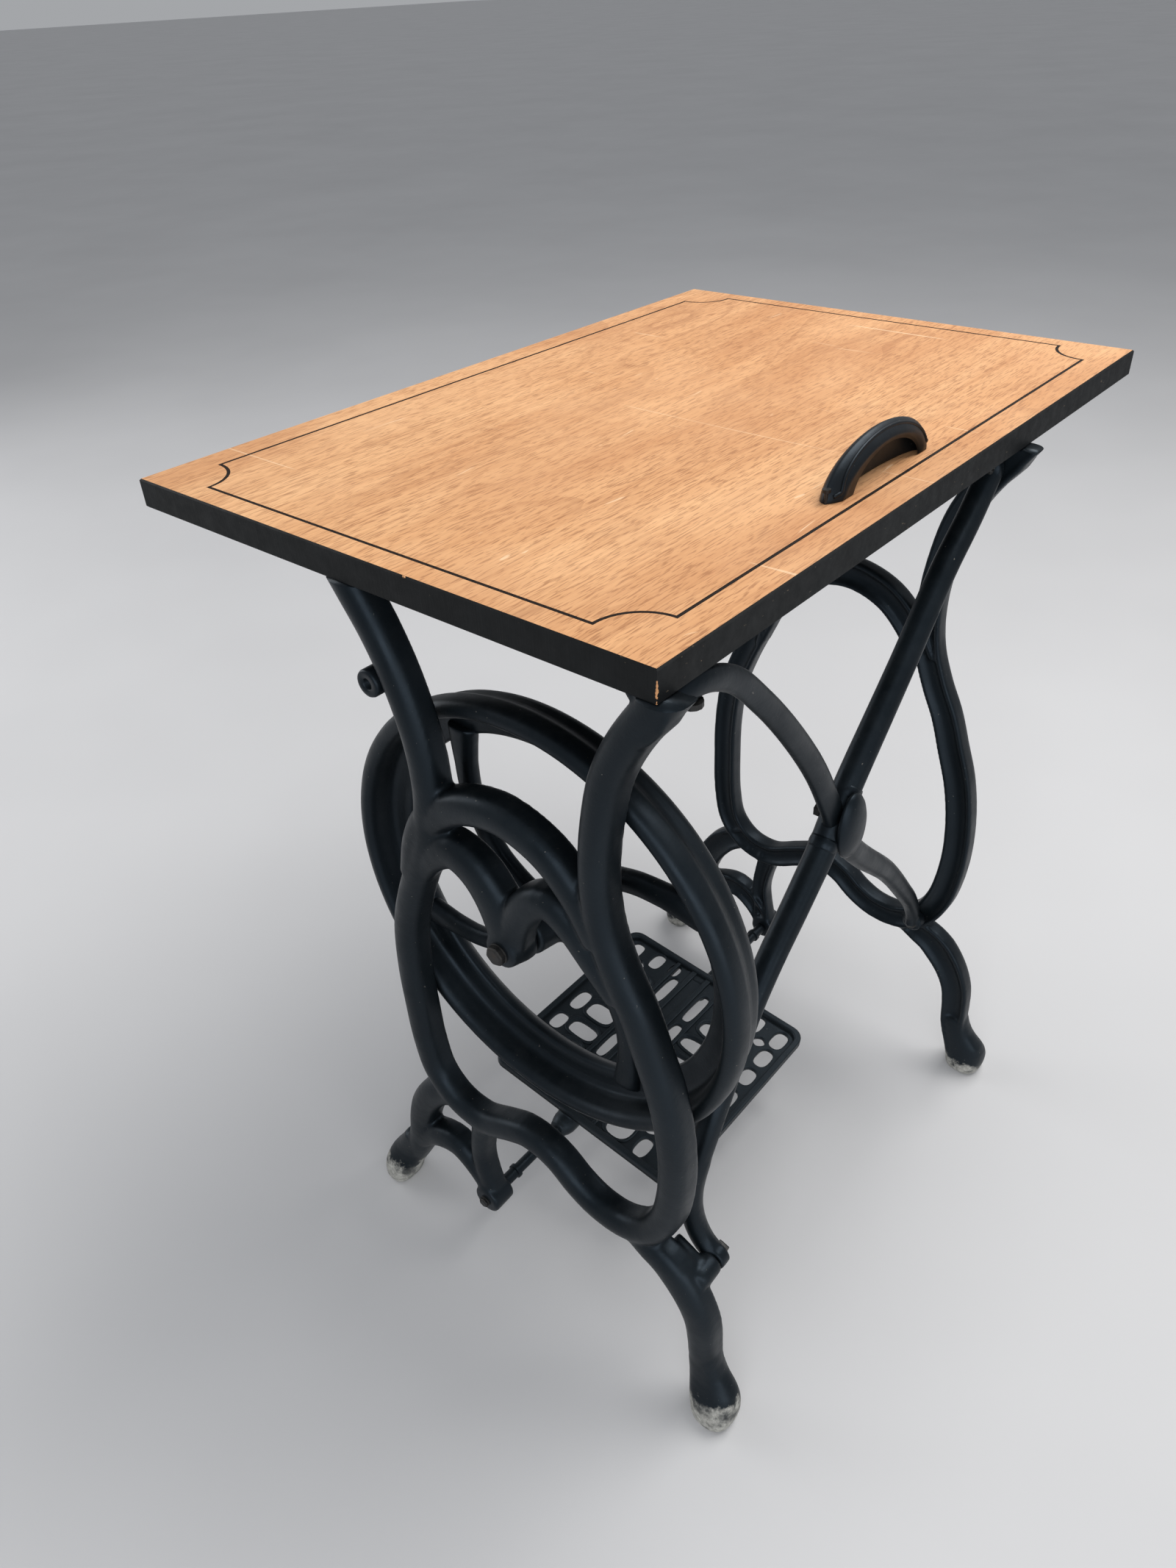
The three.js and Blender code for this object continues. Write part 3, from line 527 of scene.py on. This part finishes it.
# ---------------------------------------------------------------- end frames
# Their members' centrelines are rows of (y, z).
DRIVE_X, PLAIN_X = 360.0, -132.0
HALF_DEPTH = 13
LOOP = [
    (264, 737), (247, 712), (222, 675), (208, 645), (199, 606), (195, 572), (195, 540), (200, 510),
    (212, 478), (226, 449), (238, 415), (250, 380), (258, 340), (261, 300), (259, 262), (252, 228),
    (236, 198), (210, 182), (182, 181), (158, 191), (138, 206), (120, 213), (100, 213), (79, 204),
    (45, 188), (12, 192), (-12, 215), (-21, 250), (-24, 300), (-24, 350), (-18, 400), (-5, 440),
    (10, 475),
]
ARCH = [
    (2, 465), (12, 500), (27, 527), (48, 547), (75, 562), (112, 568), (150, 556), (176, 532), (196, 500),
]
FRONT_UPRIGHT = [(-34, 737), (-17, 712), (4, 680), (20, 645), (32, 600), (34, 555), (24, 510), (8, 470)]
BACK_LEG = [
    (196, 184), (228, 177), (254, 167), (275, 145), (288, 118), (292, 90), (294, 64), (301, 42), (306, 26),
]
FRONT_LEG = [(8, 196), (-20, 178), (-40, 150), (-51, 120), (-57, 92), (-66, 64), (-80, 38), (-88, 24)]
HOOK = [(-60, 78), (-45, 95), (-25, 109), (0, 115), (18, 106), (32, 92), (42, 76)]
STRUT = [(42, 182), (36, 155), (33, 130), (36, 105), (42, 76)]
ARM_FRONT = [(6, 470), (26, 495), (52, 511), (76, 503), (94, 480), (103, 447)]
ARM_BACK = [(103, 443.5), (112, 472), (128, 497), (148, 510), (168, 501), (190, 479), (213, 456)]
BACK_FOOT = [
    (74, 281, 307, 11.5, 11.5),
    (64, 280.5, 310, 12.3, 12.6),
    (54, 281.5, 315, 12.8, 13.6),
    (46, 282.5, 321.5, 13, 15),
    (38, 284, 328, 13.2, 18),
    (30, 286, 331.5, 13.5, 21.8),
    (22, 288, 332.8, 13.8, 24.8),
    (14, 290, 332.6, 14, 26.4),
    (6, 291.5, 331.5, 13.8, 26.6),
    (1.8, 293, 330, 12.8, 25.8),
    (0, 296, 327, 10.5, 23),
]
FRONT_FOOT = [
    (74, -82, -53, 11.5, 11.5),
    (64, -88, -57, 12.3, 12.6),
    (54, -94, -60, 12.8, 13.6),
    (46, -100, -63, 13, 15),
    (38, -105, -66, 13.2, 18),
    (30, -108.5, -69, 13.5, 21.8),
    (22, -111, -72, 13.8, 24.8),
    (14, -111.6, -74.5, 14, 26.4),
    (6, -110.5, -77, 13.8, 26.6),
    (1.8, -108.5, -79, 12.8, 25.8),
    (0, -105, -82, 10.5, 23),
]
# The leg's top widens backwards into a wedge under the edge of the board.
LEG_TOP = [(240, 735), (258, 735), (260.5, 716), (260, 708), (255, 698), (246, 687), (238, 680), (234, 700)]
# Lines along X, as (y, z), that the wheel, the treadle's rod and the brace's foot bolt lie on.
WHEEL_LINE = (103.0, 443.5)
ROD_LINE = (42.0, 73.0)
LUG_LINE = (279.0, 158.0)
UNDER_TOP = 716.5


def pad(bm, root, screw, x, outwards):
    """The flat lug that carries the top, turned inwards, with rounded ends."""
    x0, x1 = x - outwards * root[0], x - outwards * screw[0]
    heading = math.atan2(screw[1] - root[1], x1 - x0)
    rings = []
    for z, r in ((711.5, 9), (712.5, 10), (715.5, 10), (UNDER_TOP, 9.5)):
        ring = []
        for cx, cy, start in ((x1, screw[1], heading - math.pi / 2), (x0, root[1], heading + math.pi / 2)):
            for k in range(12):
                angle = start + math.pi * k / 11
                ring.append(at(cx + r * math.cos(angle), cy + r * math.sin(angle), z))
        rings.append(ring)
    rings_to(bm, rings)


def end_frame(name, x, outwards, drive):
    """One end frame. The one at the drive end also has the wheel's two arms and boss."""
    bm = bmesh.new()
    member(bm, LOOP, x, outwards, [27, 26, 25, 26, 28, 27, 27, 27, 26, 27, 27, 27, 26])
    member(bm, ARCH, x, outwards, [27, 30, 29, 29, 27], 25)
    member(bm, FRONT_UPRIGHT, x, outwards, [30, 28, 27, 28, 27], 25.5)
    member(bm, BACK_LEG, x, outwards, [18, 30, 35, 31, 28, 26, 27], [14, 24, 25, 25, 25, 25])
    member(bm, FRONT_LEG, x, outwards, [26, 31, 30, 28, 26, 27], [20, 25, 25, 25, 25])
    member(bm, HOOK, x, outwards, [24, 27, 28, 25, 22], 24)
    member(bm, STRUT, x, outwards, [24, 21, 20, 20, 22], 22)
    foot(bm, BACK_FOOT, x, outwards)
    foot(bm, FRONT_FOOT, x, outwards)
    plate(bm, LEG_TOP, x, 11)
    far = x + HALF_DEPTH * outwards
    near = x - HALF_DEPTH * outwards
    eye = [(near, 13), (near + 1.5 * outwards, 14.5), (far - 2 * outwards, 15), (far, 13)]
    turned(bm, eye, ROD_LINE, 32)
    pad(bm, (3, 232), (27, 205), x, outwards)
    pad(bm, (3, -17), (27, -12), x, outwards)
    if drive:
        member(bm, ARM_FRONT, x, outwards, [27, 30, 33, 36, 38, 34], [24, 24, 25, 26, 26, 25])
        member(bm, ARM_BACK, x, outwards, [32, 29, 28, 28, 27, 26], [25, 24, 24, 24, 24, 24], valley=9)
        boss = [(348, 18), (349, 19), (356, 18.5), (364, 16.5), (371, 15), (373, 13.5)]
        turned(bm, boss, WHEEL_LINE, 40)
        turned(bm, [(331.5, 9.5), (333, 11), (350, 11.5), (356, 10)], LUG_LINE, 32)
        tongue = [(345, 248, 174), (345, 262, 168), (344, 272, 161), (343, 280, 157)]
        bar(bm, tongue, lambda share: round_section(7.5, 9.5, 2.3, 20), 10, first=Vector((1, 0, 0)))
    obj = to_object(name, bm, "table", IRON)
    fuse(obj, 1.9, 4, top=UNDER_TOP - 0.3)
    return obj


drive = end_frame("drive_casting", DRIVE_X, 1, True)
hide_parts("drive_end_frame")
plain = end_frame("plain_casting", PLAIN_X, -1, False)
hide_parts("plain_end_frame")

# the round stub with a blind hole on the front upright
bm = bmesh.new()
STUB = [
    (348, 9), (349, 11), (371, 11), (372.7, 10.2), (373, 9), (373, 5), (372, 4.2), (362, 4), (361.8, 0.4),
]
turned(bm, STUB, (-3, 643), 40)
to_object("guide_stub", bm, "table", IRON)


# ---------------------------------------------------------------- fixings with real heads
def bolt(name, node, head, out, line, radius, height, sides, shank, turn=0.0):
    """A bolt along X: a chamfered head on a thin collar, and a round shank that runs back into the work.

    The head starts at head and faces out. shank is its (radius, length). No sides gives a domed head.
    """
    y, z = line
    count = sides * 4 or 32
    bm = bmesh.new()
    if sides:
        rows = [(0, radius), (height * 0.72, radius), (height * 0.9, radius * 0.93), (height, radius * 0.74)]
    else:
        dome = [(0, 1), (0.35, 0.97), (0.7, 0.76), (0.93, 0.42), (1, 0.12)]
        rows = [(height * rise, radius * size) for rise, size in dome]
    rings = []
    for rise, r in rows:
        ring = []
        for k in range(count):
            angle = 2 * math.pi * k / count + turn
            flat = 1.0
            if sides:
                sector = math.pi / sides
                flat = math.cos(sector) / math.cos((angle - turn) % (2 * sector) - sector)
                flat = min(flat, 0.965)
            reach = r * flat
            ring.append(at(head + out * rise, y + reach * math.cos(angle), z + reach * math.sin(angle)))
        rings.append(ring)
    rings_to(bm, rings)
    collar = [(-0.2, radius), (0.5, radius), (0.9, radius * 0.92)]
    turned(bm, [(head + out * rise, r) for rise, r in collar], line, 32)
    shank_r, length = shank
    shank_rows = [(-length, shank_r - 0.6), (0.8 - length, shank_r), (0, shank_r)]
    turned(bm, [(head + out * rise, r) for rise, r in shank_rows], line, 32)
    made = to_object(name, bm, "table", STEEL, smooth=False)
    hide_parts(node)


bolt("stud_bolt", "wheel_stud", 373.3, 1, WHEEL_LINE, 9, 6.2, 6, (5.9, 89), turn=0.3)
bolt("rod_bolt_drive", "rod_screw_drive", 373.3, 1, ROD_LINE, 5.6, 4.0, 6, (3, 20), turn=0.5)
bolt("rod_bolt_plain", "rod_screw_plain", -145.3, -1, ROD_LINE, 5.6, 4.0, 6, (3, 20), turn=0.2)

# ---------------------------------------------------------------- X brace
STRAIGHT = [
    (-118.4, 232, 700), (-85, 233, 668), (-45, 234, 636), (14, 236, 576), (62, 238, 532), (88, 239, 508),
    (115, 240, 480), (134, 241, 458), (157, 242, 438), (181, 243, 418), (207, 244, 397), (241, 246, 365),
    (262, 249, 343), (285, 252, 316), (304, 253, 286), (317, 252, 255), (324, 251, 222), (325, 255, 190),
    (325, 265, 169), (325, 277, 159),
]
CURVED = [
    (340, 240, 699), (316, 244, 704), (281, 243, 689), (242, 242, 653), (199, 242, 604), (158, 242, 549),
    (127, 242, 496), (112, 242, 467), (85, 240, 432), (51, 238, 396), (-15, 236, 333), (-68, 234, 271),
    (-96, 233, 235), (-107, 234, 210), (-108, 234, 198),
]


def straight_section(share):
    swell = spread([10.5, 11, 11, 11.5, 12, 12, 11.5, 11, 10.5, 10, 9.5], share)
    pts = round_section(swell, swell, 2.2, 24)
    return [(a + (-0.8 if a < 0 and abs(b) < 3 else 0), b) for a, b in pts]


def curved_section(share):
    thick = spread([5.5, 6.5, 7, 7, 7, 7, 6.5], share)
    wide = spread([9.2, 9.6, 10.6, 11.5, 11.5, 10.5, 9.5], share)
    return round_section(thick, wide, 2.05, 24)


bm = bmesh.new()
bar(bm, STRAIGHT, straight_section, 110)
turned(bm, [(-118.7, 9.5), (-118, 11), (-110, 11), (-108.7, 9.5)], (232, 700), 32)
turned(bm, [(319, 9.5), (320, 11), (330, 11), (331, 9.5)], LUG_LINE, 32)
straight = to_object("brace_straight", bm, "table", IRON)
fuse(straight, 1.6, 3)
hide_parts("brace_bar_straight")

bm = bmesh.new()
bar(bm, CURVED, curved_section, 110)
turned(bm, [(-118.7, 9.5), (-118, 11), (-108, 11), (-106.7, 9.5)], (234, 198), 32)
curved = to_object("brace_curved", bm, "table", IRON)
fuse(curved, 1.6, 3)
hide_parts("brace_bar_curved")

# the oval boss over the crossing, and a raised collar on the straight bar at each side of it
bm = bmesh.new()
rings = []
CROSSING = (112, 252, 475)
LEAN = 0.1
BOSS_CROWN = [
    (0, 0.96), (0.8, 1.0), (3, 0.985), (5.5, 0.9), (7.8, 0.74), (9.4, 0.52), (10.4, 0.28), (10.7, 0.08),
]
for rise, size in BOSS_CROWN:
    ring = []
    for k in range(48):
        angle = 2 * math.pi * k / 48
        a, b = 20 * size * math.cos(angle), 33 * size * math.sin(angle)
        boss_x = CROSSING[0] + a * math.cos(LEAN) + b * math.sin(LEAN)
        boss_z = CROSSING[2] - a * math.sin(LEAN) + b * math.cos(LEAN)
        ring.append(at(boss_x, CROSSING[1] + rise, boss_z))
    rings.append(ring)
rings_to(bm, rings)
boss = to_object("brace_boss", bm, "table", IRON)
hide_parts("brace_medallion")


def collar_section(share):
    size = 12.6 - 1.2 * abs(share - 0.5)
    return round_section(size, size, 2.3, 24)


bm = bmesh.new()
AHEAD = Vector((0.69, 0.02, -0.72))
for place in ((131, 241, 462), (99, 240, 496)):
    start = Vector(place) - AHEAD * 5
    bar(bm, [start + AHEAD * k for k in (0, 3.3, 6.6, 10)], collar_section, 6)
to_object("brace_collars", bm, "table", IRON)

bolt("foot_bolt_plain", "brace_bolt_plain_foot", -106.4, 1, (234, 198), 6.2, 4.6, 0, (3.6, 24))
bolt("top_bolt_plain", "brace_bolt_plain_top", -108.4, 1, (232, 700), 7, 5.2, 6, (3.6, 24), turn=0.2)
bolt("foot_bolt_drive", "brace_bolt_drive_foot", 318.7, -1, LUG_LINE, 7.4, 5.2, 4, (3.6, 24), turn=0.5)

# ---------------------------------------------------------------- band wheel
# The rim's section as (x, radius): the band groove outside, the deep hollow inside.
RIM = [
    (342, 186.0), (341.8, 189), (340.8, 191.6), (338.6, 193.9), (335.4, 195.2), (331, 195.5),
    (326, 195.4), (323.5, 194.8), (320, 192.2), (317, 190.2), (313, 189.4), (309, 189.6),
    (305.5, 188.9), (302, 186.8), (299, 183.8), (297, 180), (296, 175), (296.2, 171),
    (297.6, 167), (300.5, 162.6), (304.5, 158.8), (308.5, 156.6), (312, 156.1), (314.4, 157.4),
    (315.4, 160.5), (315.7, 166), (316.3, 172), (317.8, 175.8), (320.6, 177.8), (325, 178.6),
    (330, 179.0), (334, 179.6), (337.4, 180.6), (340, 182.6), (341.4, 184.2),
]
bm = bmesh.new()
turned(bm, RIM, WHEEL_LINE, 160, closed=True)
rim = to_object("wheel_rim", bm, "band_wheel", WHEEL_PAINT)
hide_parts("band_wheel")


def spoke_section(share):
    thick = spread([9, 8, 7.5, 7.5, 8, 9], share)
    wide = spread([12, 11, 10, 9.5, 10, 14], share)
    return round_section(thick, wide, 2.3, 20)


# A spoke from hub to rim as (along, across), at one X.
SPOKE_X = 314
SPOKE = [(8, 4), (18, 12), (34, 21), (53, 28), (74, 30), (96, 28), (115, 23), (134, 14), (150, 5), (166, -5)]
bm = bmesh.new()
for k in range(4):
    angle = math.radians(29 + 90 * k)
    c, s = math.cos(angle), math.sin(angle)
    route = [(SPOKE_X, WHEEL_LINE[0] + a * c - b * s, WHEEL_LINE[1] + a * s + b * c) for a, b in SPOKE]
    bar(bm, route, spoke_section, 40, first=Vector((1, 0, 0)))
hub = [(298, 21.5), (299.5, 23.5), (306, 24), (318, 24), (330, 22), (341, 20.5), (344.5, 20), (346, 18.5)]
turned(bm, hub, WHEEL_LINE, 48)
spider = to_object("wheel_spider", bm, "band_wheel", WHEEL_PAINT)
fuse(spider, 1.8, 4)
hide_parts("band_wheel")


# ---------------------------------------------------------------- treadle
def loop_points(kind, *size):
    """A closed outline: a rectangle with round corners from its limits, or an oval from its centre."""
    if kind == "round":
        x0, x1, y0, y1, r = size
        pts = []
        corners = ((x1 - r, y1 - r, 0), (x0 + r, y1 - r, 90), (x0 + r, y0 + r, 180), (x1 - r, y0 + r, 270))
        for cx, cy, start in corners:
            for k in range(7):
                angle = math.radians(start + 15 * k)
                pts.append((cx + r * math.cos(angle), cy + r * math.sin(angle)))
        return pts
    cx, cy, hx, hy, power = size
    return [(cx + a, cy + b) for a, b in round_section(hx, hy, power, 24)]


def flat_casting(name, loops, low, high, bevel):
    """A flat plate from closed outlines, the first outer and the rest holes, with softened arrises."""
    curve = bpy.data.curves.new(name, "CURVE")
    curve.dimensions = "2D"
    curve.fill_mode = "BOTH"
    curve.extrude = ((high - low) / 2 - bevel) * MM
    curve.bevel_depth = bevel * MM
    curve.bevel_resolution = 2
    curve.offset = -bevel * MM
    for points in loops:
        spline = curve.splines.new("POLY")
        spline.points.add(len(points) - 1)
        spline.use_cyclic_u = True
        for point, (px, py) in zip(spline.points, points):
            point.co = (px * MM, py * MM, 0, 1)
    obj = bpy.data.objects.new(name, curve)
    bpy.context.scene.collection.objects.link(obj)
    bpy.context.view_layer.update()
    mesh = bpy.data.meshes.new_from_object(obj.evaluated_get(bpy.context.evaluated_depsgraph_get()))
    bpy.data.objects.remove(obj)
    mesh.transform(Matrix.Translation((0, 0, (low + high) / 2 * MM)))
    return mesh


# The tread, drawn flat about the rod's line and tilted towards the front.
TREAD_X = 130
HALF = 125.0
LOW_Y, HIGH_Y = -104.0, 137.0
TILT = math.radians(-5.69)
openings = []
for sx in (1, -1):
    # the corner clusters of ovals round a small lozenge
    for low, high, centre in ((108, 126, 117), (-93, -75, -84)):
        openings += [("oval", sx * 101, centre, 13, 8.2, 2.6), ("oval", sx * 70, centre, 13, 8.2, 2.6)]
    openings += [("oval", sx * 85.5, 101, 6.5, 7, 1.6), ("oval", sx * 104, 86, 12.5, 7.5, 2.6)]
    openings += [("oval", sx * 85.5, -68, 6.5, 7, 1.6), ("oval", sx * 104, -54, 12.5, 7.5, 2.6)]
    openings += [("oval", sx * 38, 117, 12, 8.2, 2.6), ("oval", sx * 38, -84, 12, 8.2, 2.6)]
    # the long slots between the two cross ribs
    openings += [("oval", sx * 26, 22, 20, 6, 3.2), ("oval", sx * 76, 22, 22, 6, 3.2)]
    openings += [("oval", sx * 26, -21, 20, 6, 3.2), ("oval", sx * 76, -21, 22, 6, 3.2)]
    # upright ovals that fill the middle of both panels
    openings += [("oval", sx * 62, 66, 11, 26, 3.0), ("oval", sx * 32, 66, 9.5, 31, 3.2)]
    openings += [("oval", sx * 99, 54, 15, 14, 2.6), ("oval", sx * 82, 79, 5.5, 8, 1.7)]
    openings += [("oval", sx * 62, -50, 13, 13, 2.6), ("oval", sx * 32, -54, 10, 17, 3.0)]
    openings += [("oval", sx * 106, -30, 9, 6.5, 2.4)]
openings += [("oval", 0, 66, 12, 31, 3.2), ("oval", 0, 117, 15, 8.2, 2.6)]
openings += [("oval", 0, -54, 12, 17, 3.0), ("oval", 0, -84, 15, 8.2, 2.6)]
outer = ("round", -HALF, HALF, LOW_Y, HIGH_Y, 15)
inner = ("round", -HALF + 7, HALF - 7, LOW_Y + 7, HIGH_Y - 7, 10)
# The upper face above the rod's line, the plate's thickness, and how far each raised part stands up.
RISE = 18.7
THICK = 5
RIM_UP, RIB_UP, RING_UP = 4.6, 2.4, 1.6
plate_loops = [loop_points(*loop) for loop in [outer, *openings]]
meshes = [
    flat_casting("tread_plate", plate_loops, RISE - THICK, RISE, 1.1),
    flat_casting("tread_rim", [loop_points(*outer), loop_points(*inner)], RISE - THICK, RISE + RIM_UP, 1.6),
]
for y0, y1 in ((6, 13), (-13, -6), (29, 34), (-34, -29)):
    bar_loop = loop_points("round", -HALF + 5, HALF - 5, y0, y1, 2.5)
    meshes.append(flat_casting("tread_rib", [bar_loop], RISE - THICK, RISE + RIB_UP, 1.2))
for kind, cx, cy, hx, hy, power in openings:
    # the larger openings have a raised edge
    if hx >= 9 and hy >= 13:
        ring_out = loop_points(kind, cx, cy, hx + 4, hy + 4, power)
        ring_in = loop_points(kind, cx, cy, hx + 0.6, hy + 0.6, power)
        meshes.append(flat_casting("tread_ring", [ring_out, ring_in], RISE - 4, RISE + RING_UP, 1.0))
bm = bmesh.new()
for mesh in meshes:
    bm.from_mesh(mesh)
    bpy.data.meshes.remove(mesh)
bmesh.ops.remove_doubles(bm, verts=bm.verts, dist=1e-6)
bmesh.ops.rotate(bm, verts=bm.verts, cent=(0, 0, 0), matrix=Matrix.Rotation(TILT, 3, "X"))
bmesh.ops.translate(bm, verts=bm.verts, vec=at(TREAD_X, *ROD_LINE))
tread = to_object("tread_plate", bm, "treadle", TREAD_PAINT, smooth=False)
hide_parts("treadle_pedal")

bm = bmesh.new()
for side in (-1, 1):
    rows = [(108, 11), (110, 12.6), (117, 13), (125, 13), (131, 11.5), (134, 9.8), (136.3, 9.6), (137, 8.6)]
    turned(bm, [(TREAD_X + side * d, r) for d, r in rows], ROD_LINE, 40)
    rings = []
    for z, hx, hy in ((78, 9, 12.5), (84, 8, 11), (90, 7.5, 12), (92.5, 8.5, 15)):
        section = round_section(hx, hy, 2.8, 24)
        lug_x = TREAD_X + side * 116
        rings.append([at(lug_x + a, ROD_LINE[0] + b, z - b * 0.09) for a, b in section])
    rings_to(bm, rings)
lugs = to_object("tread_lugs", bm, "treadle", TREAD_PAINT)
fuse(lugs, 1.4, 3)
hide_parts("treadle_pedal")

# ---------------------------------------------------------------- cup pull
PULL_X, PULL_Y, PULL_Z = 43.5, 207.0, 740.3
PLAN_FULL, SECTION_FULL = 1.93, 1.6
# How far forwards the open mouth lies, and the outer and inner walls as (half length, half depth,
# height, how far forwards the middle is).
MOUTH = 9.0
OUTER_WALL = (75, 17, 35.7, 0)
INNER_WALL = (58, 8.5, 31.5, 4.5)
COLS, ROWS = 96, 26


def pull_point(u, v, half_x, half_y, height, forwards=0):
    """The arched hood: u runs from end to end of the pull, v from its back foot to the mouth."""
    along = -math.cos(math.pi * (0.006 + 0.988 * u))
    size = (1 - abs(along) ** PLAN_FULL) ** (1 / PLAN_FULL)
    ahead = min((MOUTH - forwards) / (half_y * size), 1.0)
    end = math.asin(ahead ** (SECTION_FULL / 2))
    tilt = -math.pi / 2 + (math.pi / 2 + end) * v
    across = math.copysign(abs(math.sin(tilt)) ** (2 / SECTION_FULL), math.sin(tilt))
    up = max(math.cos(tilt), 0.0) ** (2 / SECTION_FULL)
    y = PULL_Y + forwards + half_y * size * across
    return PULL_X + half_x * along, y, PULL_Z + height * size * up


bm = bmesh.new()
grids = []
for wall in (OUTER_WALL, INNER_WALL):
    grid = []
    for i in range(COLS + 1):
        column = [pull_point(i / COLS, j / ROWS, *wall) for j in range(ROWS + 1)]
        grid.append([bm.verts.new(at(*point)) for point in column])
    grids.append(grid)
outer_grid, inner_grid = grids
for grid in grids:
    for i in range(COLS):
        for j in range(ROWS):
            bm.faces.new((grid[i][j], grid[i + 1][j], grid[i + 1][j + 1], grid[i][j + 1]))
for i in range(COLS):
    for j in (0, ROWS):
        bm.faces.new((outer_grid[i][j], outer_grid[i + 1][j], inner_grid[i + 1][j], inner_grid[i][j]))
for i in (0, COLS):
    for j in range(ROWS):
        bm.faces.new((outer_grid[i][j], outer_grid[i][j + 1], inner_grid[i][j + 1], inner_grid[i][j]))
pull = to_object("pull_shell", bm, "table", PULL_PAINT)
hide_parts("top_pull")

# the rolled ridge just behind the mouth
bm = bmesh.new()
ridge = [pull_point(0.11 + 0.78 * k / 40, 0.86, OUTER_WALL[0], OUTER_WALL[1], 35.2) for k in range(41)]
bar(bm, ridge, lambda share: round_section(1.3, 1.5, 2.2, 14), 140, first=Vector((0, 1, 0)))
lip = to_object("pull_lip", bm, "table", PULL_PAINT)
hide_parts("top_pull")

# ---------------------------------------------------------------- cross rod with turned shoulders
bm = bmesh.new()
ROD_PROFILE = [
    (-118.6, 5.2), (-118.2, 5.9), (-104, 5.9), (-103.4, 7.4), (-99.6, 7.4), (-99, 5.6),
    (327, 5.6), (327.6, 7.4), (331.4, 7.4), (332, 5.9), (346.2, 5.9), (346.6, 5.2),
]
turned(bm, ROD_PROFILE, ROD_LINE, 40)
rod = to_object("cross_rod", bm, "table", IRON, smooth=False)
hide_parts("treadle_rod")

# ---------------------------------------------------------------- CAD nodes that stay
# The top and its inlay keep their solids. The other nodes still shown get small bevels.
for node_name, material in (("table_top", WOOD), ("inlay_line", INLAY)):
    nodes[node_name].data.materials.clear()
    nodes[node_name].data.materials.append(material)
for node_name, obj in nodes.items():
    if node_name in ("table_top", "inlay_line") or obj.hide_render:
        continue
    obj.data.materials.clear()
    obj.data.materials.append(STEEL)
    edge = obj.modifiers.new("edge", "BEVEL")
    edge.width = 0.0005
    edge.segments = 2
    edge.limit_method = "ANGLE"
    edge.angle_limit = math.radians(40)

# ---------------------------------------------------------------- stage, light and camera
scene = bpy.context.scene
floor_mesh = bpy.data.meshes.new("floor")
REACH = 60
corners = [(-REACH, -REACH, 0), (REACH, -REACH, 0), (REACH, REACH, 0), (-REACH, REACH, 0)]
floor_mesh.from_pydata(corners, [], [(0, 1, 2, 3)])
floor = bpy.data.objects.new("floor", floor_mesh)
scene.collection.objects.link(floor)
floor_mesh.materials.append(pale_floor("floor_pale"))

world = bpy.data.worlds.new("studio")
world.use_nodes = True
world.node_tree.nodes["Background"].inputs["Color"].default_value = (0.74, 0.76, 0.79, 1)
world.node_tree.nodes["Background"].inputs["Strength"].default_value = 0.5
scene.world = world


def area_light(name, place, target, size, power, color=(1, 1, 1)):
    """A rectangular lamp that faces the target. Places are in metres and the power in watts."""
    data = bpy.data.lights.new(name, "AREA")
    data.shape = "RECTANGLE"
    data.size, data.size_y = size
    data.energy = power
    data.color = color
    lamp = bpy.data.objects.new(name, data)
    lamp.location = place
    lamp.rotation_euler = (Vector(target) - Vector(place)).to_track_quat("-Z", "Y").to_euler()
    scene.collection.objects.link(lamp)


area_light("key", (-1.2, 0.5, 2.9), (0, 0, 0.5), (2.2, 1.6), 74, (1.0, 0.985, 0.96))
area_light("front", (2.6, 1.6, 1.5), (0, 0, 0.4), (1.8, 2.2), 34, (0.96, 0.98, 1.0))
area_light("side", (0.8, -2.8, 1.4), (0, 0, 0.4), (2.0, 1.8), 26)
area_light("low", (1.3, 2.6, 0.7), (0, 0, 0.35), (1.8, 1.0), 16)

camera_data = bpy.data.cameras.new("camera")
camera_data.sensor_fit = "AUTO"
camera_data.sensor_width = 36
camera_data.lens = 25.96
camera = bpy.data.objects.new("camera", camera_data)
FORWARD = Vector((-0.60872265, -0.53944265, -0.58177174))
RIGHT = Vector((-0.64158456, 0.76605943, -0.03901543))
DOWN = Vector((0.46672, 0.34950, -0.81242))
turn = Matrix((RIGHT, -DOWN, -FORWARD)).transposed().to_4x4()
camera.matrix_world = Matrix.Translation(at(792.9, 574.0, 1045.7)) @ turn
scene.collection.objects.link(camera)
scene.camera = camera
scene.view_settings.view_transform = "Standard"
